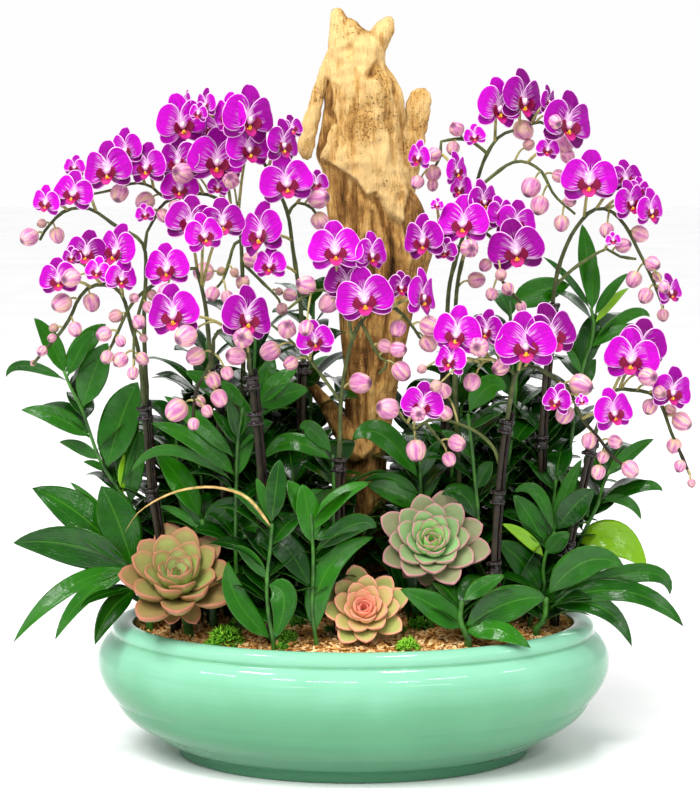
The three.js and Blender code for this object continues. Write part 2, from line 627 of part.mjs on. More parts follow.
// The flower sprays, left to right. Pixel places run from root to tip; blooms list their centre,
// width, height and how far they stand forward of the stem; buds list their centre and size.
const SPRAYS = {
  spray_1: {
    root: [-158, -46], depths: [-48, -72],
    stem: [[152, 500], [146, 430], [140, 360], [131, 325], [122, 295], [108, 285], [90, 287], [78, 300],
      [70, 318], [57, 337], [44, 351], [33, 364]],
    blooms: [[118, 251, 40, 45], [87, 252, 40, 36, BEHIND], [98, 271, 26, 24, FRONT],
      [120.5, 278, 33, 29, FRONT], [59, 279, 38, 35], [72, 257, 20, 18, BEHIND]],
    buds: [[62, 303, 19], [91.5, 302, 17], [71, 278, 19], [75, 329, 14], [54, 328, 9], [52, 338, 9],
      [42, 351, 11], [33, 363, 6]],
  },
  spray_2: {
    root: [-160, 8], depths: [6, -20],
    stem: [[154, 512], [149, 440], [146, 380], [144, 320], [146, 262], [140, 240], [116, 226], [90, 209],
      [65, 211], [47, 228], [40, 240]],
    blooms: [[47, 202, 25, 28], [74, 193, 37, 36], [75, 167, 22, 20, BEHIND]],
    buds: [[29.5, 237, 17.5], [57, 235, 15], [42, 223.5, 9]],
  },
  spray_3: {
    root: [-107, -22], depths: [-26, -86],
    stem: [[222, 480], [217, 400], [210, 350], [206, 310], [201, 285], [196, 268], [190, 268], [165, 279],
      [146, 290], [131, 305], [121, 325], [112, 345], [108, 352]],
    sides: [{ from: -72, to: -82, pixels: [[146, 290], [139, 312], [134, 340], [134, 365]] }],
    blooms: [[203, 235, 40, 36, FRONT], [190, 222, 50, 43, BEHIND], [222, 222, 45, 38, BEHIND],
      [168, 268, 45, 41]],
    buds: [[104, 334, 15], [116, 316, 13], [120.5, 341, 11], [107, 357, 13], [142, 358.5, 13], [139, 322, 14],
      [133, 373, 12], [152, 295, 11], [165.6, 291.5, 16]],
  },
  spray_4: {
    root: [-98, 46], depths: [46, 30],
    stem: [[241, 480], [243, 400], [243, 300], [241, 240], [238, 215], [228, 205], [205, 194], [178, 197],
      [162, 205], [154, 220], [146, 232]],
    sides: [
      { from: 34, to: 26, pixels: [[195, 196], [165, 197], [152, 187], [135, 183], [112, 190], [93, 194]] },
      { from: 38, to: 34, pixels: [[241, 240], [234, 245], [229, 262], [223, 280], [214, 290]] },
      { from: 40, to: 36, pixels: [[245, 262], [263, 283], [279, 300], [281, 315]] },
    ],
    blooms: [[181, 125, 48, 45], [188, 100, 18], [180, 161, 35, 35, BEHIND], [216, 160, 59, 50],
      [247, 148, 40, 40, BEHIND], [180, 188, 38, 33, FRONT], [145, 214, 20], [218, 187, 22, 19, FRONT],
      [148, 166, 30, 38], [109, 169, 43, 45], [127, 150, 25, 36, BEHIND]],
    buds: [[119.4, 193, 18], [145.5, 201, 18], [163, 215.4, 13], [182.6, 173, 21], [231, 180.4, 17],
      [204, 272, 19], [212.5, 293.8, 14], [242.6, 282, 15], [252.7, 259, 18], [282, 309, 12],
      [289.5, 295, 13]],
  },
  spray_5: {
    root: [-40, 18], depths: [18, 0],
    stem: [[306, 500], [303, 420], [304, 368], [300, 300], [293, 250], [288, 215], [278, 190], [262, 160],
      [240, 135], [210, 122], [190, 122]],
    sides: [{ from: 8, to: 4, pixels: [[288, 215], [296, 203], [312, 208], [320, 222]] }],
    blooms: [[195, 112, 20], [207, 101, 17, 24], [230, 114, 30, 30], [248, 119, 47, 48], [281, 144, 35, 36],
      [292, 125, 20], [286, 182, 54, 46], [316, 183, 25, 22, BEHIND], [263, 233, 46, 51],
      [271, 265, 35, 31, FRONT]],
    buds: [[318, 198, 21], [320, 221, 18]],
  },
  spray_6: {
    root: [-72, -92], depths: [-92, -104],
    stem: [[262, 500], [256, 430], [250, 370], [246, 340], [238, 328], [223, 329], [214, 337], [213, 355],
      [206, 372], [197, 388], [194, 405], [193, 420]],
    blooms: [[175, 314, 47, 49], [245, 317, 50, 51]],
    buds: [[186, 336, 22], [243, 338, 21], [196, 356, 18], [236, 356, 19], [213, 380, 16], [219, 398, 17],
      [207, 411, 12], [177, 410, 22], [193.5, 424, 12]],
  },
  spray_7: {
    root: [-14, -72], depths: [-72, -84],
    stem: [[338, 500], [340, 440], [341, 400], [347, 360], [354, 335], [364, 318], [380, 306], [396, 309],
      [410, 323], [420, 338]],
    sides: [
      { from: -78, to: -84, pixels: [[352, 340], [345, 305], [324, 290], [305, 296], [288, 309]] },
      { from: -76, to: -84, pixels: [[341, 402], [325, 380], [312, 363], [290, 340], [272, 325]] },
      { from: -80, to: -88, pixels: [[368, 327], [379, 356], [388, 363], [379, 374]] },
    ],
    blooms: [[335, 250, 54, 46], [370, 254, 30, 36, BEHIND], [347, 283, 45, 38, BEHIND], [365, 298, 58, 50],
      [400, 287, 25, 26, BEHIND], [420, 296, 34, 45], [315, 340, 38, 32, FRONT]],
    buds: [[287, 329, 19], [270.5, 351, 19], [291, 363, 14], [306, 285, 19], [329, 303, 19], [398, 328, 16],
      [430, 326, 20], [428, 343, 17], [401, 371, 19], [360, 383, 21]],
  },
  spray_8: {
    root: [88, 30], depths: [30, 6],
    stem: [[448, 450], [447, 380], [448, 300], [455, 262], [470, 215], [479, 175], [488, 152], [500, 136],
      [515, 130], [540, 122], [556, 130]],
    sides: [
      { from: 14, to: -8, pixels: [[484, 152], [477, 145], [464, 139], [448, 140], [440, 143], [441, 155],
        [430, 175]] },
      { from: 16, to: -6, pixels: [[486, 192], [495, 174], [511, 163], [526, 162], [540, 170], [546, 179],
        [555, 196], [575, 214]] },
    ],
    blooms: [[497, 109, 51, 47], [524, 105, 39, 45, BEHIND], [547, 97, 14], [566, 123, 36, 50],
      [475, 136, 22, 20, FRONT], [547.5, 149, 24, 21], [420, 157, 23, 27], [455, 170, 27, 30],
      [462, 188, 25, 27]],
    buds: [[456.7, 129, 15], [523, 130, 20], [563.6, 144, 18], [433.7, 154.5, 14.5], [433, 173, 16],
      [531, 187, 19], [539.7, 205, 18], [561.6, 223, 15], [558.7, 176, 13]],
  },
  spray_9: {
    root: [97, -2], depths: [-4, -30],
    stem: [[458, 450], [455, 380], [456, 300], [462, 262], [470, 240], [485, 232], [495, 245], [497, 265],
      [503, 282], [514, 295], [521, 303]],
    sides: [{ from: -14, to: -24, pixels: [[462, 250], [450, 243], [435, 243], [425, 242]] }],
    blooms: [[425, 240, 36, 42], [464, 223, 50, 45], [482, 201, 31, 35, BEHIND], [516, 249, 57, 45],
      [515, 222, 40, 36, BEHIND], [500, 214, 28, 30, BEHIND], [437, 205, 14], [446, 251, 25, 22, FRONT]],
    buds: [[469.4, 248.4, 19], [476, 280, 16], [501, 275, 12], [507.8, 289, 13], [521, 306.5, 11]],
  },
  spray_10: {
    root: [168, 16], depths: [18, -16],
    stem: [[540, 500], [541, 440], [545, 380], [551, 320], [557, 274], [569, 240], [582, 220], [593, 210],
      [606, 209], [617, 216], [628, 230], [638, 250], [648, 270], [657, 290], [663, 308]],
    sides: [{ from: 6, to: -14, pixels: [[561, 286], [573, 269], [591, 257], [607, 249], [618, 256],
      [636, 259]] }],
    blooms: [[589, 180, 56, 48], [629, 202, 34, 36], [625, 178, 30, 30, BEHIND], [649, 210, 27, 35],
      [638, 190, 25, 22, BEHIND], [669, 291.5, 20, 30], [613, 240, 16]],
    buds: [[606.7, 230, 14], [639, 234, 17], [623, 245.5, 15], [652.5, 263.6, 15], [634, 279, 15.5],
      [645.8, 295.5, 15], [663, 315, 12]],
  },
  spray_11: {
    root: [127, -78], depths: [-80, -104],
    stem: [[494, 570], [497, 505], [502, 450], [508, 415], [513, 385], [518, 370], [535, 367], [551, 376],
      [564, 385], [573, 397], [582, 419], [598, 437], [613, 457], [625, 466]],
    sides: [
      { from: -88, to: -98, pixels: [[516, 374], [495, 360], [480, 363], [470, 360]] },
      { from: -82, to: -100, pixels: [[496, 465], [493, 447], [475, 431], [446, 420], [430, 420], [415, 429],
        [416, 438]] },
      { from: -98, to: -102, pixels: [[426, 423], [446, 448]] },
      { from: -98, to: -104, pixels: [[415, 430], [398, 413]] },
    ],
    blooms: [[526, 344, 61, 50], [550, 335, 50, 52, BEHIND], [458, 333, 47, 45], [488, 330, 30, 34, BEHIND],
      [452, 360, 32, 33], [557.6, 401, 26, 29], [582, 401, 14], [612, 412, 36, 40],
      [422.5, 404, 43, 35, FRONT]],
    buds: [[580.6, 385, 22], [565, 414, 18], [589, 440.6, 15], [615, 441.7, 14], [598.4, 472, 14],
      [630, 469, 17],
      [472, 382, 17], [479, 347, 20], [500.7, 367, 17], [388, 408.7, 22], [443.7, 391, 15], [416, 450, 20],
      [456.7, 443, 17]],
  },
  spray_12: {
    root: [178, -22], depths: [-36, -70],
    stem: [[567, 548], [578, 500], [590, 450], [600, 420], [610, 395], [618, 389], [631, 390], [647, 392],
      [658, 399], [665, 414], [671, 432], [680, 452], [690, 475]],
    blooms: [[632, 358, 56, 48], [642, 345, 50, 43, BEHIND], [671, 391, 34, 40]],
    buds: [[648, 377, 19], [660, 392, 13], [650, 406.5, 15], [681.5, 421.4, 19], [674, 445.5, 15],
      [680, 466, 12], [691.5, 483, 8.5]],
  },
};

// Which sprays have a stake: its side of the stem, and the pixels of its clips.
const STAKES = {
  spray_1: { side: 1, clips: [[147, 413], [152, 495]] },
  spray_3: { side: 1, clips: [[213, 376]] },
  spray_5: { side: -1, clips: [[305, 368]] },
  spray_6: { side: 1, clips: [[250, 383], [257, 419], [266, 525]] },
  spray_7: { side: 1, clips: [[340, 465]] },
  spray_8: { side: -1, clips: [[448, 330]] },
  spray_10: { side: 1, clips: [[554, 310], [540, 442]] },
  spray_11: { side: 1, clips: [[508, 427], [496, 497], [492, 568]] },
  spray_12: { side: 1, clips: [[591, 449], [567, 547]] },
};

// The leafy stems and clumps seen from the front, left to right.
const LEAFY = {
  leaf_stem_left: {
    root: [-174, -10], depths: [-18, -26],
    stem: [[130, 510], [118, 489], [106, 471], [97, 453], [88, 427], [82, 410], [71, 388], [64, 371]],
    leaves: [[88, 440, 21, 410, 22, -14], [98, 462, 59, 442, 13, 10], [105, 472, 83, 462, 8, -8],
      [64, 383, 6, 377, 11, 6, 25, 362], [66, 377, 34, 318, 20, -6], [68, 372, 106, 324, 22, 16],
      [70, 377, 95, 331, 20, -6], [82, 410, 108, 343, 30, 2], [106, 471, 138, 382, 42, 2],
      [124, 493, 131, 447, 17, 8], [132, 508, 142, 429, 19, 4]],
  },
  clump_left: {
    root: [-180, -36], depths: [-36, -36], radius: 7, tipRadius: 5,
    stem: [[140, 596], [134, 570]],
    leaves: [[125, 565, 32, 488, 42, 14], [123, 567, 13, 543, 40, -12], [142, 562, 101, 486, 42, 4],
      [125, 567, 70, 482, 14, 34], [123, 570, 13, 643, 22, -42, 70, 580],
      [123, 571, 55, 640, 20, -60, 88, 588],
      [133, 590, 95, 645, 22, -60, 111, 603], [130, 590, 79, 610, 10, -70, 100, 592]],
  },
  leaf_stem_centre_left: {
    root: [-100, -58], depths: [-58, -60],
    stem: [[236, 560], [236, 500], [237, 470], [238, 440], [243, 408]],
    leaves: [[235, 478, 150, 423, 22, -6, 197, 435], [238, 484, 130, 474, 12, -8, 172, 446],
      [236, 478, 253, 433, 14, 6], [246, 408, 220, 382, 14, 4], [231, 446, 211, 411, 12, 6],
      [235, 440, 228, 400, 12, -6], [237, 440, 244, 411, 12, 8], [236, 460, 164, 396, 18, 4, 196, 415]],
  },
  clump_centre_left: {
    root: [-124, -36], depths: [-36, -40], radius: 6, tipRadius: 3,
    stem: [[212, 580], [206, 540], [202, 520]],
    leaves: [[204, 535, 242, 499, 28, 0], [197, 529, 178, 499, 14, 8], [195, 535, 159, 506, 10, 4],
      [210, 545, 266, 530, 25, -6, 247, 519], [200, 520, 155, 452, 28, 8]],
  },
  leaf_stem_back_left: {
    root: [-76, -4], depths: [-2, 0],
    stem: [[258, 560], [258, 480], [259, 405]],
    leaves: [[260, 409, 309, 390, 24, -8], [258, 405, 297, 370, 22, 0], [260, 401, 274, 357, 20, 10],
      [258, 430, 184, 371, 24, 6], [258, 440, 195, 440, 20, 10]],
  },
  leaf_stem_front_left: {
    root: [-68, -117], depths: [-118, -118],
    stem: [[268, 610], [267, 578], [270, 550], [272, 524]],
    leaves: [[267, 620, 228, 561, 24, 0], [266, 580, 235, 545, 14, 4],
      [268, 585, 275, 633, 28, -16, 288, 598],
      [272, 524, 256, 478, 12, 6], [274, 522, 280, 459, 22, 8], [271, 530, 227, 487, 10, 6]],
  },
  leaf_stem_front: {
    root: [-32, -108], depths: [-108, -106],
    stem: [[312, 610], [313, 577], [313, 547], [311, 515]],
    leaves: [[308, 592, 253, 546, 32, 2, 281, 533], [311, 540, 344, 533, 14, 4],
      [313, 553, 377, 528, 22, 2, 352, 518],
      [311, 612, 374, 537, 24, 12, 330, 560], [311, 547, 302, 484, 27, 2], [308, 530, 287, 480, 22, 12],
      [312, 533, 371, 483, 20, 6, 338, 492]],
  },
  leaf_stem_centre: {
    root: [-16, -34], depths: [-40, -44],
    stem: [[334, 560], [334, 500], [333, 455]],
    leaves: [[332, 462, 264, 459, 22, -4, 293, 435], [334, 450, 300, 430, 18, 6, 312, 424],
      [334, 500, 296, 500, 16, 0]],
  },
  leaf_stem_centre_right: {
    root: [66, -8], depths: [-14, -24],
    stem: [[424, 560], [421, 495], [420, 462]],
    leaves: [[418, 482, 352, 441, 28, -6, 382, 426], [419, 497, 362, 482, 12, 8, 392, 474],
      [420, 510, 366, 485, 25, -4], [422, 505, 442, 473, 10, 2], [421, 480, 440, 440, 14, -6]],
  },
  leaf_stem_middle_right: {
    root: [112, -36], depths: [-38, -42],
    stem: [[476, 570], [478, 520], [474, 470], [468, 414]],
    leaves: [[479, 522, 442, 495, 24, -8, 462, 487], [475, 490, 493, 462, 18, -6],
      [468, 414, 506, 390, 25, 0, 488, 379], [472, 430, 502, 413, 8, 4], [474, 460, 440, 430, 14, 4]],
  },
  clump_front_right: {
    root: [98, -104], depths: [-104, -104], radius: 6, tipRadius: 4,
    stem: [[460, 620], [462, 602]],
    leaves: [[462, 618, 546, 598, 34, 2, 505, 588], [460, 625, 531, 648, 24, -14, 492, 618],
      [458, 620, 430, 595, 26, -14, 442, 590], [462, 600, 505, 575, 18, 12, 484, 580]],
  },
  leaf_stem_right: {
    root: [156, -34], depths: [-36, -42],
    stem: [[544, 590], [543, 570], [547, 550], [555, 532]],
    leaves: [[540, 592, 497, 542, 30, -14], [540, 557, 502, 524, 13, -8], [543, 550, 513, 495, 24, 4],
      [553, 534, 513, 493, 14, 10, 537, 488], [546, 555, 570, 533, 20, -8], [556, 532, 595, 490, 28, -26]],
  },
  clump_right: {
    root: [160, -62], depths: [-62, -62], radius: 6, tipRadius: 4,
    stem: [[545, 618], [546, 598]],
    leaves: [[545, 596, 624, 566, 34, -8, 595, 552], [546, 604, 684, 627, 27, -12, 626, 583],
      [548, 600, 670, 595, 20, 14, 640, 566], [548, 608, 632, 647, 22, -28, 600, 600]],
  },
  leaf_stem_far_right: {
    root: [184, 6], depths: [8, 6],
    stem: [[572, 560], [584, 532], [598, 504], [603, 485], [610, 470]],
    leaves: [[606, 478, 654, 439, 14, 6], [598, 506, 663, 491, 15, 0, 639, 482],
      [603, 500, 641, 520, 11, -8, 627, 498],
      [581, 547, 647, 569, 34, -6, 616, 521], [590, 520, 556, 470, 22, 6]],
  },
  leaf_stem_back_right: {
    root: [150, 58], depths: [58, 50],
    stem: [[532, 560], [528, 500], [518, 420], [512, 360], [510, 304]],
    leaves: [[511, 305, 570, 285, 28, 12, 540, 282], [528, 491, 578, 425, 34, 8], [526, 480, 490, 440, 20, 6],
      [520, 440, 557, 400, 20, 8], [515, 400, 478, 360, 18, 0], [512, 350, 540, 320, 16, 6]],
  },
  leaf_stem_upper_right: {
    root: [170, 46], depths: [48, 42],
    stem: [[560, 540], [566, 480], [574, 420], [582, 371], [591, 344], [594, 325], [591, 308]],
    leaves: [[592, 310, 582, 224, 20, 10], [595, 312, 594, 258, 16, -4], [590, 312, 543, 257, 8, 4],
      [594, 318, 629, 273, 11, -6], [594, 325, 629, 288, 9, 6], [592, 344, 650, 317, 12, 0, 629, 311],
      [590, 348, 643, 326, 14, -12], [582, 371, 596, 313, 24, 14], [581, 375, 564, 345, 8, -6]],
  },
};

// Bushy stems at the back, which the front view doesn't reach.
const BUSHES = {
  leaf_stem_rear_left: {
    root: [-118, 78], height: 190, lean: [-30, 26], count: 7, length: 78, width: 24, start: 1.9,
  },
  leaf_stem_rear: {
    root: [-44, 104], height: 210, lean: [-10, 34], count: 7, length: 76, width: 25, start: 1.3,
  },
  leaf_stem_rear_right: {
    root: [92, 88], height: 200, lean: [22, 34], count: 7, length: 78, width: 24, start: 1.2,
  },
};

// The echeverias, with the depth of their hearts.
const ROSETTES = {
  echeveria_left: { centre: [183, 583, -74], radius: 52, tilt: 0.9, root: [-144, -62], colour: '#9a8a62' },
  echeveria_front: { centre: [364, 611, -92], radius: 40, tilt: 0.95, root: [12, -86], colour: '#d59a7c' },
  echeveria_centre: { centre: [430, 542, -56], radius: 48, tilt: 0.95, root: [68, -44], colour: '#93b48c' },
};

// The bowl, the plants, and last the potting mix with a hole for each root.
addNode('bowl', ovalLathe(BOWL_PROFILE), GLAZE_COLOUR, 0.12);
driftwood();
Object.entries(ROSETTES).forEach(([name, shape]) => rosette(name, shape));
Object.entries(SPRAYS).forEach(([name, shape]) => {
  const stem = spray(name, shape);
  if (STAKES[name]) {
    stake(name.replace('spray', 'stake'), stem, STAKES[name].side, STAKES[name].clips);
  }
});
Object.entries(LEAFY).forEach(([name, shape]) => leafy(name, shape));
Object.entries(BUSHES).forEach(([name, shape]) => bush(name, shape));

let mix = ovalLathe(MIX_PROFILE);
holes.forEach(({ x, y, radius }) => {
  const up = new THREE.Vector3(0, 0, 1);
  const sides = radius < TRUNK_FOOT_RADIUS ? 4 : TRUNK_SIDES;
  const reach = (radius + HOLE_CLEARANCE) / Math.cos(Math.PI / sides);
  const hole = (height) => circle(new THREE.Vector3(x, y, height), up, reach, sides);
  mix = mix.subtract(loft([hole(HOLE_FLOOR), hole(SOIL_TOP + 10)]));
});
addNode('potting_mix', mix, MIX_COLOUR, 0.95);

const arrangement = new THREE.Group();
arrangement.add(...nodes);
export default arrangement;
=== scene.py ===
# %% [markdown]
# # Moth orchids in an oval glazed bowl
# The solids of the arrangement are packed already: a bowl with its potting mix, a piece of driftwood, three
# echeverias, twelve flower sprays, nine stakes and the leafy stems. This lesson dresses them one by one. Each
# finer piece is worked out from the same places as its solid, so it stands where the solid stands.

import bpy
import numpy as np
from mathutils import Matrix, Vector


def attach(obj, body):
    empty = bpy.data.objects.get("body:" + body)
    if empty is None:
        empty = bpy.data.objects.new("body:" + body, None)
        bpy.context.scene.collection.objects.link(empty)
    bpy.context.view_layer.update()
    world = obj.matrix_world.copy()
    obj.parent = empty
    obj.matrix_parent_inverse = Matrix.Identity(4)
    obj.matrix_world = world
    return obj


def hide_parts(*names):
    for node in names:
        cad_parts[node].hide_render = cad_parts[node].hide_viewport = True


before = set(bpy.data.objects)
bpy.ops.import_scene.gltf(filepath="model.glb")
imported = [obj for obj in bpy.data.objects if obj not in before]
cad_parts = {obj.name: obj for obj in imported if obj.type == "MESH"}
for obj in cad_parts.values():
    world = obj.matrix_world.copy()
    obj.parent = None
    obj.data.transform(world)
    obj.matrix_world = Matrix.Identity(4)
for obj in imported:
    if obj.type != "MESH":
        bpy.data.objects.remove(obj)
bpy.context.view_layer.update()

# %% [markdown]
# ## Places from the photograph
# The plants were measured as pixels of a front view: an eye 2 m in front and 0.56 m up, tilted down. A pixel
# and a depth give one point in space. Tables and formulas of shapes are in millimetres, as in the
# construction, and MM makes them metres when a mesh is written. Materials and lights are in metres.

# %% A pixel and a depth make a point
MM = 0.001
EYE = np.array([-3.0, -2000.0, 560.0])
TILT = np.radians(6.72)
# Focal length, picture size and picture centre in pixels.
FOCAL = 2262.0
PICTURE_SIZE = (700, 788)
PICTURE_CENTRE = (350.0, 394.0)
# Height of the top of the mix, of the lower end of every root, and how far a stem rises before it bends.
SOIL_TOP, ROOT_END, ROOT_RISE = 122.0, 101.0, 4.0
GOLDEN_ANGLE = np.radians(137.5)
UP = np.array([0.0, 0.0, 1.0])
RIGHT = np.array([1.0, 0.0, 0.0])


def ray(px, py):
    """The direction of a pixel's line of sight, one millimetre long along +Y when the view is level."""
    across = (np.asarray(px, float) - PICTURE_CENTRE[0]) / FOCAL
    up = (PICTURE_CENTRE[1] - np.asarray(py, float)) / FOCAL
    return np.stack([across, np.cos(TILT) + np.sin(TILT) * up, np.cos(TILT) * up - np.sin(TILT)], -1)


def at(px, py, depth):
    """The point of a pixel's line of sight at a depth (its Y)."""
    way = ray(px, py)
    return EYE + way * ((np.asarray(depth, float) - EYE[1]) / way[..., 1])[..., None]


def on_height(px, py, height):
    """The point of a pixel's line of sight at a height (its Z)."""
    way = ray(px, py)
    return EYE + way * (height - EYE[2]) / way[2]


def size_at(pixels, depth):
    """The length in millimetres of a length in pixels at a depth."""
    return pixels * (depth - EYE[1]) / FOCAL


print("picture centre at the middle of the bowl:", at(*PICTURE_CENTRE, 0.0).round(1))

# %% [markdown]
# ## Curves and directions
# Stems, twigs and leaf ribs are smooth curves through a few chosen points. A Catmull-Rom curve passes through
# its points, which a Bezier spline doesn't, so it suits places that were measured.

# %% Helpers for curves
def unit(vectors):
    """Vectors scaled to length one."""
    return vectors / np.linalg.norm(vectors, axis=-1, keepdims=True)


def circle(count):
    """Angles spread evenly round a full turn."""
    return np.linspace(0, 2 * np.pi, count, endpoint=False)


def walk(points):
    """The distance walked along a row of points, from zero at the first one."""
    return np.concatenate([[0], np.cumsum(np.linalg.norm(np.diff(points, axis=0), axis=1))])


def smooth(points, pitch):
    """Points about pitch apart on the uniform Catmull-Rom curve through the given ones, in any number of
    dimensions. Each span blends four neighbours with cubic weights, and the ends are carried on straight."""
    p = np.vstack([2 * points[0] - points[1], points, 2 * points[-1] - points[-2]])
    t = np.linspace(0, 1, 12, endpoint=False)[:, None]
    a, b, c, d = (p[i:len(p) - 3 + i, None] for i in range(4))
    spans = b + 0.5 * t * (c - a + t * (2 * a - 5 * b + 4 * c - d + t * (3 * (b - c) + d - a)))
    dense = np.vstack([spans.reshape(-1, p.shape[1]), points[-1]])
    walked = walk(dense)
    even = np.linspace(0, walked[-1], max(2, round(walked[-1] / pitch)) + 1)
    return np.stack([np.interp(even, walked, column) for column in dense.T], 1)


def bezier(start, middle, end, shares):
    """Quadratic curves that pass through their middles half way. k starts, middles and ends give k curves."""
    control = 2 * middle - (start + end) / 2
    u = shares[None, :, None]
    return (1 - u) ** 2 * start[:, None] + 2 * u * (1 - u) * control[:, None] + u * u * end[:, None]


def turned(vectors, axes, angles):
    """Vectors turned about unit axes by angles (Rodrigues' rule)."""
    cos, sin = np.cos(angles)[..., None], np.sin(angles)[..., None]
    kept = axes * (axes * vectors).sum(-1, keepdims=True)
    return vectors * cos + np.cross(axes, vectors) * sin + kept * (1 - cos)


def nearest(paths, target, back=0.0):
    """The point of some paths nearest to a target, moved a share of that distance back towards the root."""
    starts, ends = np.vstack([path[:-1] for path in paths]), np.vstack([path[1:] for path in paths])
    spans = ends - starts
    shares = np.clip(((target - starts) * spans).sum(1) / (spans ** 2).sum(1), 0, 1)
    points = starts + spans * shares[:, None]
    gaps = np.linalg.norm(points - target, axis=1)
    best = gaps.argmin()
    return points[best] - unit(spans[best]) * back * gaps[best]


def ripple(points, size, seed, waves=10):
    """Smooth noise of about -1 to 1 with bumps near the given size: the mean of sine waves in seeded
    random directions."""
    rng = np.random.default_rng(seed)
    ways = unit(rng.normal(size=(waves, 3))) * (2 * np.pi / size) * rng.uniform(0.6, 1.5, (waves, 1))
    return 1.8 * np.sin(points @ ways.T + rng.uniform(0, 2 * np.pi, waves)).mean(-1)


bend = smooth(np.array([[1.0, 0.0], [0.7, 0.7], [0.0, 1.0]]), 0.4)
print("a smooth bend:", bend.round(2).tolist())


# %% [markdown]
# ## One kind of surface for every piece
# A petal, a bud, a twig and a bark chip are all closed shells. Each one here is a stack of rings with a point
# at either end, so one routine can lay out its faces. Many shells go into one mesh at once, as whole arrays.
# A UV map runs along and round each shell, and three attributes tell a material which copy a point is on
# (tint), how many millimetres it is from the rim of its blade (rim), and whether it is underneath (under).

# %% Shells gathered into a mesh
def spread(value, k, n, m):
    """A value for every point of k shells, from one value, one for each shell, or one for each ring point."""
    value = np.asarray(value, float)
    value = value[:, None, None] if value.ndim == 1 else value
    full = np.broadcast_to(value, (k, n, m)).reshape(k, n * m)
    return np.hstack([full[:, :m].mean(1, keepdims=True), full, full[:, -m:].mean(1, keepdims=True)])


class Pile:
    """Closed shells gathered for one piece."""

    def __init__(self):
        self.finishes, self.batches, self.points, self.count = [], [], [], 0

    def add(self, finish, rings, start, end,
            along=None, across=None, tint=0.5, rim=9.0, under=0.0, soft=True):
        """Adds k shells. rings is (k, n, m, 3); start and end are the k points that close them. Faces run
        between neighbouring rings, with fans at the ends, and are turned over where the enclosed volume,
        the sum of corner triple products, comes out negative."""
        k, n, m = rings.shape[:3]
        points = np.concatenate([start[:, None], rings.reshape(k, n * m, 3), end[:, None]], axis=1)
        along = np.linspace(0, 1, n + 2)[1:-1] if along is None else along
        across = np.linspace(0, 1, m + 1) if across is None else across
        row, column = (grid.ravel() for grid in np.meshgrid(np.arange(n - 1), np.arange(m), indexing="ij"))
        a, b = 1 + row * m + column, 1 + row * m + (column + 1) % m
        quads = np.stack([a, b, b + m, a + m], -1)
        quad_uv = np.stack([
            np.stack([along[row], along[row], along[row + 1], along[row + 1]], -1),
            np.stack([across[column], across[column + 1], across[column + 1], across[column]], -1)], -1)
        j = np.arange(m)
        first, following, last = 1 + j, 1 + (j + 1) % m, (n - 1) * m
        here, beyond, zero = across[j], across[j + 1], np.zeros(m)
        between = (here + beyond) / 2
        fans = np.concatenate([
            np.stack([following, first, zero.astype(int)], -1),
            np.stack([first + last, following + last, np.full(m, n * m + 1)], -1)])
        low, high = np.full(m, along[0]), np.full(m, along[-1])
        fan_uv = np.concatenate([
            np.stack([np.stack([low, low, zero], -1), np.stack([beyond, here, between], -1)], -1),
            np.stack([np.stack([high, high, zero + 1], -1), np.stack([here, beyond, between], -1)], -1)])
        corners = np.concatenate([quads[:, [0, 1, 2]], quads[:, [0, 2, 3]], fans])
        local = points - points.mean(1, keepdims=True)
        p, q, r = (local[:, corners[:, i]] for i in range(3))
        inside_out = (p * np.cross(q, r)).sum((1, 2)) < 0
        if finish not in self.finishes:
            self.finishes.append(finish)
        for faces, uv in ((quads, quad_uv), (fans, fan_uv)):
            faces, uv = np.repeat(faces[None], k, 0), np.repeat(uv[None], k, 0)
            faces[inside_out], uv[inside_out] = faces[inside_out][:, :, ::-1], uv[inside_out][:, :, ::-1]
            faces = faces + (self.count + np.arange(k) * points.shape[1])[:, None, None]
            flat = faces.reshape(-1, faces.shape[2])
            self.batches.append([flat, uv.reshape(-1, 2), self.finishes.index(finish), soft])
        values = (spread(value, k, n, m).ravel() for value in (tint, rim, under))
        self.points.append([points.reshape(-1, 3), *values])
        self.count += points.shape[0] * points.shape[1]

    def write(self, name, slot, *nodes):
        """Makes the piece, which rides on the one body and stands for the named solids."""
        mesh = bpy.data.meshes.new(name)
        points, tint, rim, under = (np.concatenate(values) for values in zip(*self.points))
        mesh.vertices.add(len(points))
        mesh.vertices.foreach_set("co", (points * MM).astype(np.float32).ravel())
        faces, uvs, finishes, softs = zip(*self.batches)
        sizes = np.concatenate([np.full(len(batch), batch.shape[1]) for batch in faces])
        mesh.loops.add(int(sizes.sum()))
        mesh.loops.foreach_set("vertex_index", np.concatenate([batch.ravel() for batch in faces]))
        mesh.polygons.add(len(sizes))
        mesh.polygons.foreach_set("loop_start", np.concatenate([[0], np.cumsum(sizes)[:-1]]))
        counts = [len(batch) for batch in faces]
        mesh.polygons.foreach_set("material_index", np.repeat(finishes, counts))
        mesh.polygons.foreach_set("use_smooth", np.repeat(softs, counts))
        layer = mesh.uv_layers.new(name="UVMap")
        layer.data.foreach_set("uv", np.concatenate(uvs).astype(np.float32).ravel())
        for title, values in (("tint", tint), ("rim", rim), ("under", under)):
            mesh.attributes.new(title, "FLOAT", "POINT").data.foreach_set("value", values.astype(np.float32))
        for finish in self.finishes:
            mesh.materials.append(finish)
        mesh.update(calc_edges=True)
        piece = bpy.data.objects.new(name, mesh)
        bpy.context.scene.collection.objects.link(piece)
        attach(piece, "root")
        if nodes:
            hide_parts(*nodes)
        print(f"{name}: {len(points)} points, {int((sizes - 2).sum())} triangles")


